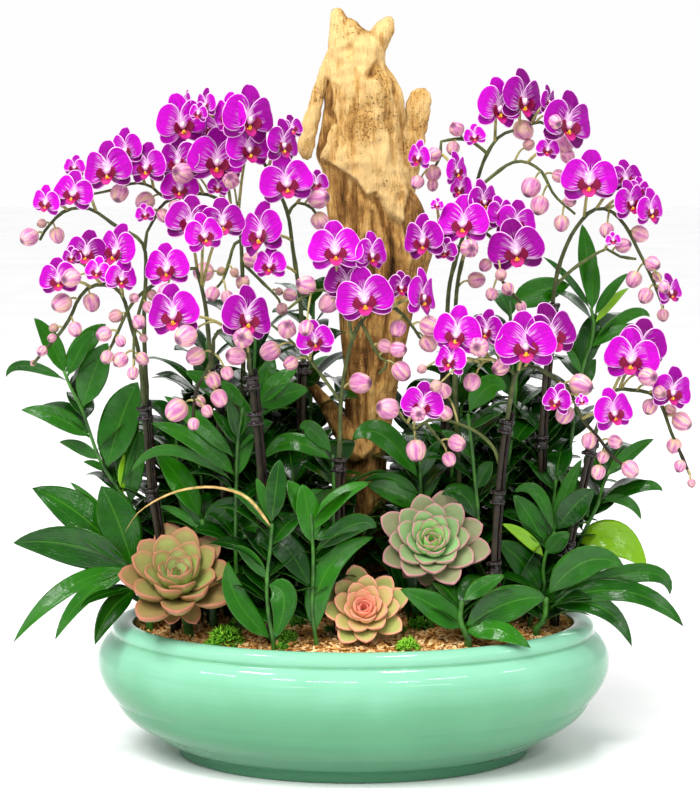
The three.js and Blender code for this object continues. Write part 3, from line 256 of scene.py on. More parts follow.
def tubes(paths, radii, sides=6, toward=(0.15, 1.0, 0.1)):
    """Round rods along k paths: each ring is square to its path, at that point's radius, and the rods end
    in low domes. Returns what Pile.add takes."""
    tangents = unit(np.gradient(paths, axis=1))
    across = unit(np.cross(np.array(toward), tangents))
    other = np.cross(tangents, across)
    turn = circle(sides)[:, None]
    radii = np.broadcast_to(radii, paths.shape[:2])[..., None]
    rings = paths[:, :, None] + radii[..., None] * (
        across[:, :, None] * np.cos(turn) + other[:, :, None] * np.sin(turn))
    reach = 0.5 * radii * tangents
    return rings, paths[:, 0] - reach[:, 0], paths[:, -1] + reach[:, -1]


def blades(pile, finish, spine, side, half, top, bottom, rise=None, tint=0.5, columns=12, shares=None):
    """Thin closed blades. A ring point at angle a is spine + side * half * cos(a) + face * (rise +
    thickness * sin(a)), with top above and bottom below. The first and last spine points are the ends. rise
    is worked out from the position across, cos(a), by the given function."""
    k, n = spine.shape[:2]
    cos, sin = np.cos(circle(columns)), np.sin(circle(columns))
    tangents = unit(np.gradient(spine, axis=1))
    side = np.broadcast_to(side, spine.shape)
    face = unit(np.cross(side, tangents))
    half, top, bottom = (np.broadcast_to(value, (k, n))[..., None] for value in (half, top, bottom))
    lift = np.where(sin > 0, top, bottom) * sin + (0 if rise is None else rise(cos))
    rings = spine[:, :, None] + side[:, :, None] * (half * cos)[..., None]
    rings = rings + face[:, :, None] * lift[..., None]
    shares = np.linspace(0, 1, n) if shares is None else shares
    length = np.linalg.norm(np.diff(spine, axis=1), axis=2).sum(1)[:, None, None]
    rim = np.minimum(half * (1 - abs(cos)), length * (1 - shares)[None, :, None])
    pile.add(finish, rings[:, 1:-1], spine[:, 0], spine[:, -1], along=shares[1:-1],
             across=np.append(1 + cos, 2) / 2, tint=tint, rim=rim[:, 1:-1], under=(sin < 0)[None, None])


print("shell helpers are ready")

# %% [markdown]
# ## Colours and nodes
# Colours are written as the sRGB codes that a picture editor shows, and made linear for the shader. One small
# function adds a node with its settings and links, and a few name the kinds of node that return in almost
# every material, so a material reads as a list of what feeds what.

# %% Helpers for materials
UV_AXES = {"along": "X", "across": "Y"}


def colour(code):
    """An sRGB code as linear RGBA: ((c + 0.055) / 1.055) ** 2.4 for each channel, or c / 12.92 if dark."""
    c = np.array([int(code[i:i + 2], 16) for i in (1, 3, 5)]) / 255
    return (*np.where(c > 0.04045, ((c + 0.055) / 1.055) ** 2.4, c / 12.92).tolist(), 1.0)


def add(tree, kind, inputs=None, stops=None, **settings):
    """Adds one node. inputs gives values, or other nodes' outputs to link; stops fills a colour ramp."""
    made = tree.nodes.new("ShaderNode" + kind)
    for name, value in settings.items():
        setattr(made, name, value)
    for i, (place, code) in enumerate(stops or []):
        elements = made.color_ramp.elements
        element = elements[i] if i < 2 else elements.new(place)
        element.position, element.color = place, colour(code)
    for name, value in (inputs or {}).items():
        if isinstance(value, bpy.types.NodeSocket):
            tree.links.new(value, made.inputs[name])
        else:
            made.inputs[name].default_value = value
    return made


def positions(tree):
    """The place of a point, in metres."""
    return add(tree, "TexCoord").outputs["Object"]


def carried(tree, *names):
    """What the shells carry: along and across on the UV map, or the attributes tint, rim and under."""
    values = []
    for name in names:
        if name in UV_AXES:
            mapped = add(tree, "SeparateXYZ", {0: add(tree, "UVMap", uv_map="UVMap").outputs[0]})
            values.append(mapped.outputs[UV_AXES[name]])
        else:
            values.append(add(tree, "Attribute", attribute_name=name).outputs["Fac"])
    return values


def maths(tree, operation, *values, **settings):
    """The result of a Math node. MULTIPLY_ADD is the first value times the second, plus the third."""
    return add(tree, "Math", dict(enumerate(values)), operation=operation, **settings).outputs[0]


def ranged(tree, value, low, high, first=0.0, last=1.0, **settings):
    """A value carried from the span low to high onto the span first to last, and held at both ends."""
    spans = {"Value": value, "From Min": low, "From Max": high, "To Min": first, "To Max": last}
    return add(tree, "MapRange", spans, **settings).outputs[0]


def noise(tree, place, scale, detail=2.0, **sockets):
    """Fractal noise round a half, with bumps about 1 / scale long."""
    return add(tree, "TexNoise", {"Vector": place, "Scale": scale, "Detail": detail, **sockets}).outputs[0]


def streaks(tree, scales, detail):
    """Noise drawn out along a shell, and different on every copy: its scales along, across and by copy."""
    values = carried(tree, "along", "across", "tint")
    parts = [maths(tree, "MULTIPLY", value, scale) for value, scale in zip(values, scales)]
    return noise(tree, add(tree, "CombineXYZ", dict(enumerate(parts))).outputs[0], 1.0, detail)


def ramped(tree, value, *stops):
    """The colour of a value, between stops of a place and a code."""
    return add(tree, "ValToRGB", {0: value}, stops=stops).outputs[0]


def mixed(tree, share, first, second):
    """Two colours, each an output or a code, with this share of the second."""
    first, second = (colour(part) if isinstance(part, str) else part for part in (first, second))
    return add(tree, "Mix", {0: share, 6: first, 7: second}, data_type="RGBA").outputs[2]


def paint(tree, shader, base, relief=None, strength=1.0, distance=0.001):
    """Links the base colour, and for a relief also a bump, with its strength and its height in metres."""
    tree.links.new(base, shader.inputs["Base Color"])
    if relief is not None:
        bump = add(tree, "Bump", {"Height": relief, "Strength": strength, "Distance": distance})
        tree.links.new(bump.outputs[0], shader.inputs["Normal"])


def material(name, **sockets):
    """A new material, its node tree and its Principled shader, with constant values set on the shader."""
    made = bpy.data.materials.new(name)
    made.use_nodes = True
    shader = made.node_tree.nodes["Principled BSDF"]
    for socket, value in sockets.items():
        shader.inputs[socket.replace("_", " ")].default_value = value
    return made, made.node_tree, shader


def mottled(name, scale, *stops, detail=2.0, over=None, drawn=None, bump=None, **sockets):
    """A material coloured by one noise. over names a value that the shells carry, and the share of the noise
    that is added to it. drawn scales the axes, and bump is a strength and a height in metres."""
    made, tree, shader = material(name, **sockets)
    place = positions(tree)
    if drawn:
        place = add(tree, "Mapping", {"Vector": place, "Scale": drawn}).outputs[0]
    mottle = noise(tree, place, scale, detail)
    tone = maths(tree, "MULTIPLY_ADD", mottle, over[1], *carried(tree, over[0])) if over else mottle
    paint(tree, shader, ramped(tree, tone, *stops), *([mottle, *bump] if bump else []))
    return made


print("magenta in linear light:", colour("#c010c0"))

# %% [markdown]
# ## Floor, light and camera
# The real one stands in a photo studio on white. A pale floor takes a soft shadow, a wide soft key light
# comes from the upper left, and the room around lights evenly. Two small softboxes leave the bright patches
# on the polished leaves, and a row of thin tubes the short bright dashes on the glaze. The colours are shown
# plainly, as the photograph's are, so the Standard view is chosen.

# %% Stage
FLOOR_HALF = 14.0
pale = mottled("pale_paper", 3.0, (0.3, "#fafafa"), (0.7, "#ffffff"), Roughness=0.9)
floor_mesh = bpy.data.meshes.new("floor")
floor_corners = [(x * FLOOR_HALF, y * FLOOR_HALF, 0) for x, y in ((-1, -1), (1, -1), (1, 1), (-1, 1))]
floor_mesh.from_pydata(floor_corners, [], [(0, 1, 2, 3)])
floor_mesh.materials.append(pale)
floor = bpy.data.objects.new("floor", floor_mesh)
bpy.context.scene.collection.objects.link(floor)

# The backdrop is white, and the room is dimmer overhead and behind the camera, so that shapes keep their
# shade. Each row gives how far a line of sight runs up, or away from the camera, where the glow starts to
# fall and where it has fallen, and the glow at both.
SKY_GLOW = (0.12, 0.6, 0.99, 0.46)
ROOM_GLOW = (0.1, -0.6, 1.0, 0.5)
world = bpy.data.worlds.new("studio")
world.use_nodes = True
bpy.context.scene.world = world
tree = world.node_tree
ways = add(tree, "SeparateXYZ", {0: positions(tree)})
sky = ranged(tree, ways.outputs["Z"], *SKY_GLOW, interpolation_type="SMOOTHSTEP")
room = ranged(tree, ways.outputs["Y"], *ROOM_GLOW, interpolation_type="SMOOTHSTEP")
tree.links.new(maths(tree, "MULTIPLY", sky, room), tree.nodes["Background"].inputs["Strength"])
tree.nodes["Background"].inputs["Color"].default_value = (1, 1, 1, 1)

# Place, width and height in metres, and power in watts.
LIGHTS = {
    "softbox_left": [(-0.9, -0.8, 1.9), (0.38, 0.2), 12],
    "softbox_above": [(0.4, -0.3, 2.3), (0.42, 0.22), 15],
    "tube_far_left": [(-1.94, -1.41, 1.9), (0.7, 0.07), 8],
    "tube_left": [(-1.05, -2.16, 1.95), (0.4, 0.06), 5],
    "tube_middle": [(-0.33, -2.38, 1.8), (0.8, 0.035), 6],
    "tube_right": [(0.74, -2.28, 1.7), (0.5, 0.045), 5],
    "tube_far_right": [(1.44, -1.92, 2.0), (0.7, 0.07), 8],
    "tube_end": [(2.2, -0.9, 1.9), (0.5, 0.07), 4],
    "strip_left": [(-0.9, -2.6, 1.0), (0.5, 0.03), 2],
    "strip_right": [(1.1, -2.3, 1.1), (0.7, 0.03), 2],
    "softbox_back": [(0.8, 2.4, 1.9), (1.4, 0.9), 12],
}
LIGHTS_AIM = Vector((0, 0, 0.28))
for name, (where, (width, height), power) in LIGHTS.items():
    light = bpy.data.lights.new(name, "AREA")
    light.shape = "RECTANGLE"
    light.size, light.size_y, light.energy = width, height, power
    lamp = bpy.data.objects.new(name, light)
    bpy.context.scene.collection.objects.link(lamp)
    lamp.location = where
    lamp.rotation_euler = (LIGHTS_AIM - Vector(where)).to_track_quat("-Z", "Y").to_euler()

# The key light stays out of reflections, where the softboxes and tubes are seen.
SUN_STRENGTH, SUN_ANGLE, SUN_FROM = 2.3, 0.5, (-0.45, -1.0, 1.4)
sun_data = bpy.data.lights.new("window", "SUN")
sun_data.energy, sun_data.angle = SUN_STRENGTH, SUN_ANGLE
sun = bpy.data.objects.new("window", sun_data)
bpy.context.scene.collection.objects.link(sun)
sun.rotation_euler = Vector(SUN_FROM).to_track_quat("Z", "Y").to_euler()
sun.visible_glossy = False

SENSOR = 36.0
camera_data = bpy.data.cameras.new("camera")
camera_data.sensor_width = SENSOR
camera_data.lens = FOCAL * SENSOR / max(PICTURE_SIZE)
camera = bpy.data.objects.new("camera", camera_data)
bpy.context.scene.collection.objects.link(camera)
camera.location = EYE * MM
camera.rotation_euler = (np.pi / 2 - TILT, 0, 0)
bpy.context.scene.camera = camera
bpy.context.scene.view_settings.view_transform = "Standard"
print("camera at", [round(x, 3) for x in camera.location], "lens", round(camera_data.lens, 1), "mm")

# %% [markdown]
# ## The bowl
# A stoneware bowl, turned and pressed oval, dipped in a mint celadon glaze. The glaze is thick and glassy,
# and it stands slightly uneven, which bends the highlights. It is darker low on the wall, partly its own
# colour and partly painted shade, and darker in the groove under the lip, partly pooled glaze and partly
# painted shade. A profile carried round an ellipse gives the shape: a small foot ring, a full belly, and a
# soft lip over the groove.

# %% Glaze
# In metres: the height of the lip, the height of the groove under it, and how far the darkening in the groove
# reaches, pooled glaze and painted shade.
LIP_HEIGHT, GROOVE_HEIGHT, GROOVE_REACH = 0.12, 0.1112, 0.003
glaze, tree, shader = material("celadon_glaze", Roughness=0.06, IOR=1.38)
place = positions(tree)
height = add(tree, "SeparateXYZ", {0: place}).outputs["Z"]
# It is lighter from foot to lip, partly the glaze's own colour and partly painted shade low on the wall, in
# soft patches some 50 mm across.
lighter = ranged(tree, height, 0.0, LIP_HEIGHT)
tone = maths(tree, "MULTIPLY_ADD", noise(tree, place, 20.0), 0.22, lighter)
# Throwing marks run round the wall, about 3 mm apart.
flattened = add(tree, "Mapping", {"Vector": place, "Scale": (0.06, 0.06, 1.0)}).outputs[0]
tone = maths(tree, "MULTIPLY_ADD", noise(tree, flattened, 330.0), 0.06, tone)
# The groove under the lip is darker: pooled glaze, and painted shade in the groove.
off_groove = maths(tree, "ABSOLUTE", maths(tree, "SUBTRACT", height, GROOVE_HEIGHT))
tone = maths(tree, "SUBTRACT", tone, ranged(tree, off_groove, 0.0, GROOVE_REACH, 0.3, 0.0))
base = ramped(tree, tone, (0.05, "#477f5f"), (0.36, "#48825f"), (0.75, "#5f9f79"), (1.05, "#7fbc9d"))
# Waves of the fired surface, about 30 mm long and hardly deep.
paint(tree, shader, base, noise(tree, place, 34.0, 1.0), 0.25, 0.0012)
print("the glaze is ready")

# %% Bowl
OVAL = 0.7
BOWL_FLOOR = 12.0
BOWL_SIDES = 160
# Half widths and heights of the profile: the foot ring, then up the wall, over the lip and down inside.
BOWL_FOOT = np.array([[60, 0], [110, 0], [152, 0], [157, 0.6], [158.4, 2.4], [158.2, 6.4]])
BOWL_WALL = np.array([
    [158.6, 8.4], [163, 10.4], [171.5, 14.6], [184, 22.6], [196.6, 33.2], [208.2, 44.6], [217.6, 55],
    [224.2, 64.6], [228.2, 74], [230.1, 83], [229.4, 93.6], [226, 101], [221.4, 106.4], [217, 109.2],
    [214.4, 111.2], [216.4, 113.8], [216, 117.6], [212.4, 121], [206.6, 122.9], [202, 122.8], [198.4, 121.2],
    [197, 118.6], [200, 112], [210, 103], [218, 92], [220, 72], [212, 46], [196, 30], [172, 18],
    [148, BOWL_FLOOR]])
BOWL_INSIDE = np.array([[80, BOWL_FLOOR], [30, BOWL_FLOOR]])


def ovals(profile, sides):
    """Rings of a profile of half widths and heights, carried round an ellipse OVAL times as deep as wide."""
    turn = circle(sides)
    x, y = profile[:, :1] * np.cos(turn), OVAL * profile[:, :1] * np.sin(turn)
    return np.stack([x, y, np.broadcast_to(profile[:, 1:2], x.shape)], -1)[None]


def on_axis(height):
    """The one point that closes a shell on the axis of the bowl."""
    return height * UP[None]


profile = np.vstack([BOWL_FOOT, smooth(BOWL_WALL, 3.2), BOWL_INSIDE])
bowl = Pile()
bowl.add(glaze, ovals(profile, BOWL_SIDES), on_axis(0.0), on_axis(BOWL_FLOOR))
bowl.write("glazed_bowl", "bowl_glaze", "bowl")

# %% [markdown]
# ## Potting mix, bark chips and moss
# The bowl is filled with fine shredded bark, pale tan on top and dark in the gaps. A gently domed bed gives
# the body, and several thousand small chips lie on it at random slants, each of only nine faces. Low tufts
# of star moss grow between the plants, and each is one to five hundred thin pointed leaves that stand out
# of a mound.

# %% Bark and moss
# Bark fibres are about 1 mm apart.
bark = mottled(
    "shredded_bark", 900.0, (0.2, "#5c3212"), (0.5, "#c4863a"), (0.8, "#e6b066"), (1.1, "#f4d098"),
    detail=3.0, over=("tint", 0.5), bump=(0.6, 0.0006), Roughness=0.9, Specular_IOR_Level=0.2)

# Moss leaves grow lighter towards their tips.
moss, tree, shader = material("star_moss", Roughness=0.7)
along, copy = carried(tree, "along", "tint")
tone = maths(tree, "MULTIPLY_ADD", along, 0.6, copy)
base = ramped(tree, tone, (0.0, "#103004"), (0.5, "#34780c"), (0.9, "#559a12"), (1.3, "#82bd2c"))
paint(tree, shader, base)
print("bark and moss are ready")

# %% Bed of mix with its chips
# Half widths and heights: the wall of the bed, which clears the inside of the bowl, and its domed top.
MIX_FLOOR = 12.4
MIX_WALL = np.array([[147.4, MIX_FLOOR], [195, 30.6], [219, 70.2], [217, 97.7], [199, 116]])
MIX_DOME = np.array([[0, SOIL_TOP], [150, 121.0], [198, 116.6]])
BED_EDGE, BED_HEART, BED_RINGS, BED_SIDES = 197, 6, 34, 120
# Waves of the bed: their height, length, and how far in from the edge they are full, above a lowered bed.
BED_WAVE, BED_WAVE_LENGTH, BED_EASE, BED_LOWERED = 1.3, 9, 8, 1.2
CHIP_COUNT, CHIP_EDGE = 8000, 196
# Shortest and longest half length, thinnest and thickest radius, and the girth at four places along a chip.
CHIP_HALF, CHIP_RADIUS, CHIP_GIRTH = (2.0, 4.2), (0.6, 1.4), np.array([[0.7, 1.0, 0.9, 0.6]])


def dome(x, y):
    """Height of the mix at a place: the dome's profile read at the oval distance from the middle."""
    return np.interp(np.hypot(x, y / OVAL), MIX_DOME[:, 0], MIX_DOME[:, 1])


top = np.linspace(BED_EDGE, BED_HEART, BED_RINGS)
rings = ovals(np.vstack([MIX_WALL, np.stack([top, dome(top, 0)], 1)]), BED_SIDES)
waved = rings[0, len(MIX_WALL):]
eased = np.clip((BED_EDGE - top) / BED_EASE, 0, 1)[:, None]
waved[..., 2] += BED_WAVE * ripple(waved, BED_WAVE_LENGTH, 3) * eased - BED_LOWERED
mix = Pile()
mix.add(bark, rings, on_axis(MIX_FLOOR), on_axis(MIX_DOME[1, 1]), tint=0.12)

rng = np.random.default_rng(11)
turn, far = rng.uniform(0, 2 * np.pi, CHIP_COUNT), CHIP_EDGE * np.sqrt(rng.uniform(0, 1, CHIP_COUNT))
x, y = far * np.cos(turn), OVAL * far * np.sin(turn)
middle = np.stack([x, y, dome(x, y) + rng.uniform(-0.6, 1.4, CHIP_COUNT)], 1)
heading = rng.uniform(0, 2 * np.pi, CHIP_COUNT)
way = unit(np.stack([np.cos(heading), np.sin(heading), rng.normal(0, 0.35, CHIP_COUNT)], 1))
reach = rng.uniform(*CHIP_HALF, CHIP_COUNT)[:, None, None] * np.linspace(-1, 1, 4)[None, :, None]
paths = middle[:, None] + way[:, None] * reach
rings, *ends = tubes(paths, rng.uniform(*CHIP_RADIUS, (CHIP_COUNT, 1)) * CHIP_GIRTH, 3)
mix.add(bark, rings[:, 1:3], paths[:, 0], paths[:, 3], tint=rng.uniform(0.25, 1.0, CHIP_COUNT), soft=False)
mix.write("bark_mix", "bark_mix", "potting_mix")

# %% Moss tufts
# Pixel place, radius in pixels, number of leaves and brightness of each tuft, and the girth along a leaf.
MOSS = [
    [243, 607, 15, 420, 0.5], [226, 631, 18, 480, 0.4], [238, 622, 11, 200, 0.3], [212, 638, 10, 160, 0.3],
    [288, 634, 12, 260, 0.35], [298, 620, 10, 180, 0.15], [282, 642, 8, 110, 0.25], [419, 622, 13, 260, 0.05],
    [408, 640, 13, 340, 0.55], [330, 628, 8, 90, 0.1], [400, 628, 9, 130, 0.15]]
MOSS_GIRTH = np.array([0.5, 1.0, 0.2])
# By the radius: how far out on the mound a leaf starts, and its length. Then how unevenly it points.
MOSS_MOUND, MOSS_LENGTH, MOSS_SPREAD = (0.35, 0.85), (0.3, 0.5), 0.45
tufts = Pile()
for px, py, radius, count, bright in MOSS:
    foot = on_height(px, py + 0.5 * radius, SOIL_TOP)
    foot[2] = dome(foot[0], foot[1])
    size = size_at(radius, foot[1])
    out = unit(rng.normal(size=(count, 3)) + [0, 0, 0.7])
    start = foot + out * rng.uniform(*MOSS_MOUND, (count, 1)) * size
    way = unit(out + rng.normal(0, MOSS_SPREAD, (count, 3)))
    end = start + way * rng.uniform(*MOSS_LENGTH, (count, 1)) * size
    rings, *ends = tubes(np.stack([start, 0.6 * start + 0.4 * end, end], 1), MOSS_GIRTH, 3)
    tufts.add(moss, rings[:, :2], start, end, tint=bright + rng.uniform(-0.15, 0.3, count))
tufts.write("moss_tufts", "foliage")

# %% [markdown]
# ## Driftwood
# A weathered trunk, washed until only the hard golden wood is left, with two horns at the top, a stub on the
# right, a lobe down the upper left and a broken prong low on the left. Its upper part is a mantle that
# overhangs the trunk below, and the trunk and the low prong are painted darker, as shade under the mantle.
# The trunk is a stack of measured outlines. Flutes run along it, painted darker with their depth as shade,
# and the mantle's edge is a step in the surface along a measured line, so it throws a real shadow.

# %% Weathered wood
wood, tree, shader = material("weathered_driftwood", Roughness=0.85, Specular_IOR_Level=0.25)
place = positions(tree)
# Fibres run up the trunk: about 1.5 mm across and 15 mm long.
upright = {"Vector": place, "Scale": (1.0, 1.0, 0.12), "Rotation": (0.0, 0.1, 0.0)}
upright = add(tree, "Mapping", upright).outputs[0]
stains = noise(tree, place, 30.0, 4.0)
grain = maths(tree, "MULTIPLY_ADD", noise(tree, upright, 420.0, 5.0, Roughness=0.7), 1.1, stains)
banded = maths(tree, "MULTIPLY_ADD", noise(tree, upright, 80.0, 3.0), 0.5, grain)
# The tint carries painted light and shade: the mantle lighter, and the trunk under it, its foot, the low
# prong and the grooves darker.
tone = maths(tree, "MULTIPLY_ADD", *carried(tree, "tint"), 0.55, banded)
base = ramped(tree, ranged(tree, tone, 1.1, 1.98),
              (0.0, "#33200e"), (0.35, "#8a602f"), (0.62, "#c89a55"), (0.9, "#e6c383"))
# Worn pits about 1 mm wide, where a fine noise is low, painted darker as shade in the holes.
pits_and_groove_shade = maths(tree, "MULTIPLY_ADD", stains, 0.45, noise(tree, place, 520.0, 3.0))
whole = ranged(tree, pits_and_groove_shade, 0.5, 0.6)
relief = maths(tree, "MULTIPLY_ADD", whole, 0.3, grain)
paint(tree, shader, mixed(tree, whole, "#8a6030", base), relief, 1.0, 0.003)
print("the wood is ready")

# %% Trunk and limbs
TRUNK_DEPTH, TRUNK_SIDES = 74, 160
TRUNK_ROOT, TRUNK_ROOT_RADIUS = (20.0, 70.0), 15
# Pixel row, left and right outline, and depth as a share of the width.
TRUNK_RINGS = np.array([
    [570, 352, 388, 0.8], [540, 352, 387, 0.85], [480, 342, 386, 0.75], [400, 345, 396, 0.7],
    [320, 340, 412, 0.6], [250, 334, 433, 0.52], [230, 330, 428, 0.53], [205, 326, 422, 0.55],
    [188, 325, 411, 0.58], [172, 323, 408, 0.60], [160, 318, 406, 0.57], [150, 317, 404, 0.56],
    [138, 320, 403, 0.57], [112, 325, 404, 0.6], [96, 326, 402.5, 0.66], [84, 326, 398, 0.7],
    [76, 327, 393, 0.72], [66, 328, 386, 0.74], [56, 329, 384.5, 0.72], [40, 330, 388.5, 0.66],
    [26, 330, 393.5, 0.5], [16, 330, 394, 0.3], [10, 330, 394, 0.06]])
# The pixel column about which the back mirrors the front.
MIRROR = 368
# The notched top, as pixels from left to right, and the row above which the rings are drawn up to it.
TOP_EDGE = np.array([
    [330, 20], [330.8, 13], [333, 9], [338.5, 7.6], [342.6, 9.2], [344.7, 14], [346.4, 17.6], [350.7, 18],
    [357, 21.5], [360.5, 26], [366, 30], [371, 31.5], [373, 28.5], [376.7, 22], [382, 19], [386, 16.3],
    [391, 16.5], [393.5, 20]])
TOP_START, TOP_POLE = 62, (362, 41)
# The mantle's lower edge as pixels from left to right, the rows over which it fades, and its step.
MANTLE_EDGE = np.array([
    [300, 158], [311, 160], [325, 160], [337, 167], [357, 181], [366, 195], [376, 192], [383, 206],
    [390, 216], [403, 222], [408, 190], [436, 186]])
MANTLE_FADE, MANTLE_STEP = 4, 9
# Share of the unevenness that is left along the outline, and how much is smoothed away at the very top.
OUTLINE_RELIEF, TOP_SMOOTHED = 0.25, 0.85
# Painted light and shade: brightness of the trunk in the mantle's shade, what the lit mantle adds, and what a
# groove takes away as shade for each millimetre.
TRUNK_TONE, MANTLE_TONE, GROOVE_TONE = 0.42, 0.58, 0.13
# It also grows brighter downwards, by this much, from this pixel row and over so many rows.
LOW_TONE, LOW_START, LOW_SPAN = 0.05, 250, 150
# Unevenness: height and length in millimetres, how far it is drawn out upwards, seed and number of waves.
RELIEF = [(2.4, 26, 0.16, 5, 10), (1.3, 9, 0.16, 6, 10), (0.9, 7, 0.5, 7, 10), (0.9, 11, 1, 13, 10),
          (0.5, 3.6, 0.4, 12, 20)]
# Grooves as pixel lines, with their depth in millimetres and half width in pixels.
GROOVES = [
    (6.0, 3.0, [[329, 82], [332, 98], [330, 108], [333, 120], [327, 132], [325, 142], [320, 150],
                [317, 158]]),
    (3.0, 1.6, [[336, 84], [337, 98], [334, 112], [337, 124]]),
    (3.5, 2.0, [[384, 66], [392, 90], [398, 112], [403, 140], [405, 165]]),
    (-3.0, 4.0, [[390, 80], [399, 100], [407, 150]]),
    (2.6, 4.5, [[338, 62], [343, 100], [340, 140], [334, 158]]),
    (2.4, 4.0, [[352, 52], [358, 90], [352, 130], [356, 172]]),
    (-2.2, 5.0, [[360, 120], [366, 150], [384, 178], [396, 190]]),
    (2.0, 3.0, [[378, 62], [384, 100], [392, 150], [398, 200]]),
    (4.5, 3.5, [[373, 66], [370, 76]]),
    (3.0, 2.0, [[343, 12], [347, 18], [345, 24]]),
    (2.4, 2.5, [[360, 34], [355, 44], [344, 52]]),
    (2.4, 2.5, [[372, 33], [380, 42], [386, 54]]),
    (3.0, 3.0, [[340, 175], [336, 230], [338, 300], [342, 380], [346, 470]]),
    (3.0, 3.0, [[352, 185], [350, 240], [355, 300], [352, 380], [356, 460]]),
    (3.0, 3.0, [[372, 215], [372, 260], [366, 320], [362, 380], [366, 460]]),
    (3.0, 3.0, [[378, 200], [384, 222], [392, 240], [398, 290]]),
    (2.5, 3.0, [[392, 225], [396, 260], [390, 310], [380, 380]]),
    (-3.0, 4.5, [[395, 184], [412, 200], [428, 240]]),
    (3.0, 2.5, [[406, 186], [404, 215], [414, 250]])]
# Pixels and half widths of each limb, how far it stands back in millimetres, and its depth by its width.
LIMBS = [
    [[[403, 190, 11], [409, 150, 14], [414, 125, 13], [418, 108, 12.5], [421, 98, 11],
      [423.5, 91, 7]], 4, 0.7],
    [[[362, 455, 14], [344, 430, 11], [326, 404, 7.5], [310, 384, 4]], -8, 1.0],
    [[[330, 50, 2.5], [326, 66, 5], [321.5, 82, 6], [317, 98, 6.5], [313, 115, 7.5], [308.5, 132, 8.5],
      [306, 147, 8.4], [307, 158, 4.5]], -8, 0.8]]


def off_line(points, line):
    """Distances from points to a line of straight pieces: the least of those to each piece."""
    line = np.array(line, float)
    start, span = line[:-1], np.diff(line, axis=0)
    share = np.clip(((points[..., None, :] - start) * span).sum(-1) / (span ** 2).sum(-1), 0, 1)
    return np.linalg.norm(points[..., None, :] - start - share[..., None] * span, axis=-1).min(-1)


rows = smooth(TRUNK_RINGS, 2.0)
turn = circle(TRUNK_SIDES)
column = (rows[:, 1:2] + rows[:, 2:3]) / 2 + (rows[:, 2:3] - rows[:, 1:2]) / 2 * np.cos(turn)
top = np.interp(column, TOP_EDGE[:, 0], TOP_EDGE[:, 1])
lifted = np.clip((TOP_START - rows[:, :1]) / (TOP_START - rows[-1, 0]), 0, 1)
row = np.where(lifted > 0, TOP_START - lifted * (TOP_START - top), rows[:, :1])
half = size_at((rows[:, 2:3] - rows[:, 1:2]) / 2, TRUNK_DEPTH)
trunk = at(column, row, TRUNK_DEPTH)
trunk[..., 1] += half * rows[:, 3:] * np.sin(turn)
seen = np.stack([np.where(np.sin(turn) > 0, 2 * MIRROR - column, column), row], -1)
mantle = np.interp(seen[..., 0], MANTLE_EDGE[:, 0], MANTLE_EDGE[:, 1])
mantle = np.clip((mantle - row) / MANTLE_FADE + 0.5, 0, 1)
carved, pits_and_groove_shade = 0 * row, 0 * row
for deep, broad, line in GROOVES:
    dent = deep * np.exp(-(off_line(seen, line) / broad) ** 2)
    carved, pits_and_groove_shade = carved - dent, pits_and_groove_shade + np.maximum(dent, 0)
outward = np.stack([np.cos(turn), np.sin(turn), 0 * turn], -1)
relief = sum(
    rise * ripple(trunk * [1, 1, drawn], size, seed, waves) for rise, size, drawn, seed, waves in RELIEF)
# It is full in front and behind, and slight along the outline, which was measured.
facing = abs(np.sin(turn))
relief = (relief + carved) * (OUTLINE_RELIEF + (1 - OUTLINE_RELIEF) * facing)
relief = relief + MANTLE_STEP * (mantle - 0.6) * facing ** 0.6
trunk = trunk + outward * (relief * (1 - TOP_SMOOTHED * lifted ** 2))[..., None]
foot = np.array([*TRUNK_ROOT, ROOT_END]) + TRUNK_ROOT_RADIUS * outward
middle = 0.5 * foot + 0.5 * trunk[0]
middle[:, 2] = SOIL_TOP + 3
driftwood = Pile()
# Painted shade: the trunk under the mantle is darker than the mantle, its foot in the mix darker still, and
# each groove darker with its depth.
lower = np.clip((row - LOW_START) / LOW_SPAN, 0, 1)
shade = TRUNK_TONE + MANTLE_TONE * mantle + LOW_TONE * lower - GROOVE_TONE * pits_and_groove_shade
shade = np.vstack([0 * turn[None] + 0.2, 0 * turn[None] + 0.2, shade])[None]
driftwood.add(
    wood, np.vstack([foot[None], middle[None], trunk])[None], foot.mean(0)[None],
    at(*TOP_POLE, TRUNK_DEPTH)[None], tint=shade)
for pixels, back, flat in LIMBS:
    line = smooth(np.array(pixels, float), 2.5)
    path = at(line[:, 0], line[:, 1], TRUNK_DEPTH + back)
    rings, start, end = tubes(path[None], size_at(line[:, 2], TRUNK_DEPTH), 44)
    centre = path[None, :, None]
    bumps = 1 + 0.12 * ripple(rings * [1, 1, 0.3], 10, 8) + 0.09 * ripple(rings * [1, 1, 0.6], 5, 9)
    rings = centre + (rings - centre) * bumps[..., None] * [1, flat, 1]
    # The low prong is painted darker, as shade under the mantle, and the upper limbs lighter, as the lit
    # mantle.
    driftwood.add(wood, rings, start, end, tint=0.9 if line[0, 1] < 300 else 0.35)
driftwood.write("driftwood_trunk", "driftwood", "driftwood")

# %% [markdown]
# ## Orchid finishes
# Petals are thin living tissue, satin rather than shiny. These are magenta with a fine pale margin, darker
# veins that fan out from the base, and a nearly white flare at the base. The lip is crimson, with a yellow
# callus, and over it a white column with a magenta foot. Buds are pale pink with purple seams and a dark tip.
# The patterns follow the blades, so they read the UV map, and the margin reads the distance from the rim.

# %% Petal
petal, tree, shader = material("orchid_petal", Roughness=0.55, Specular_IOR_Level=0.12)
along, copy, rim, under = carried(tree, "along", "tint", "rim", "under")
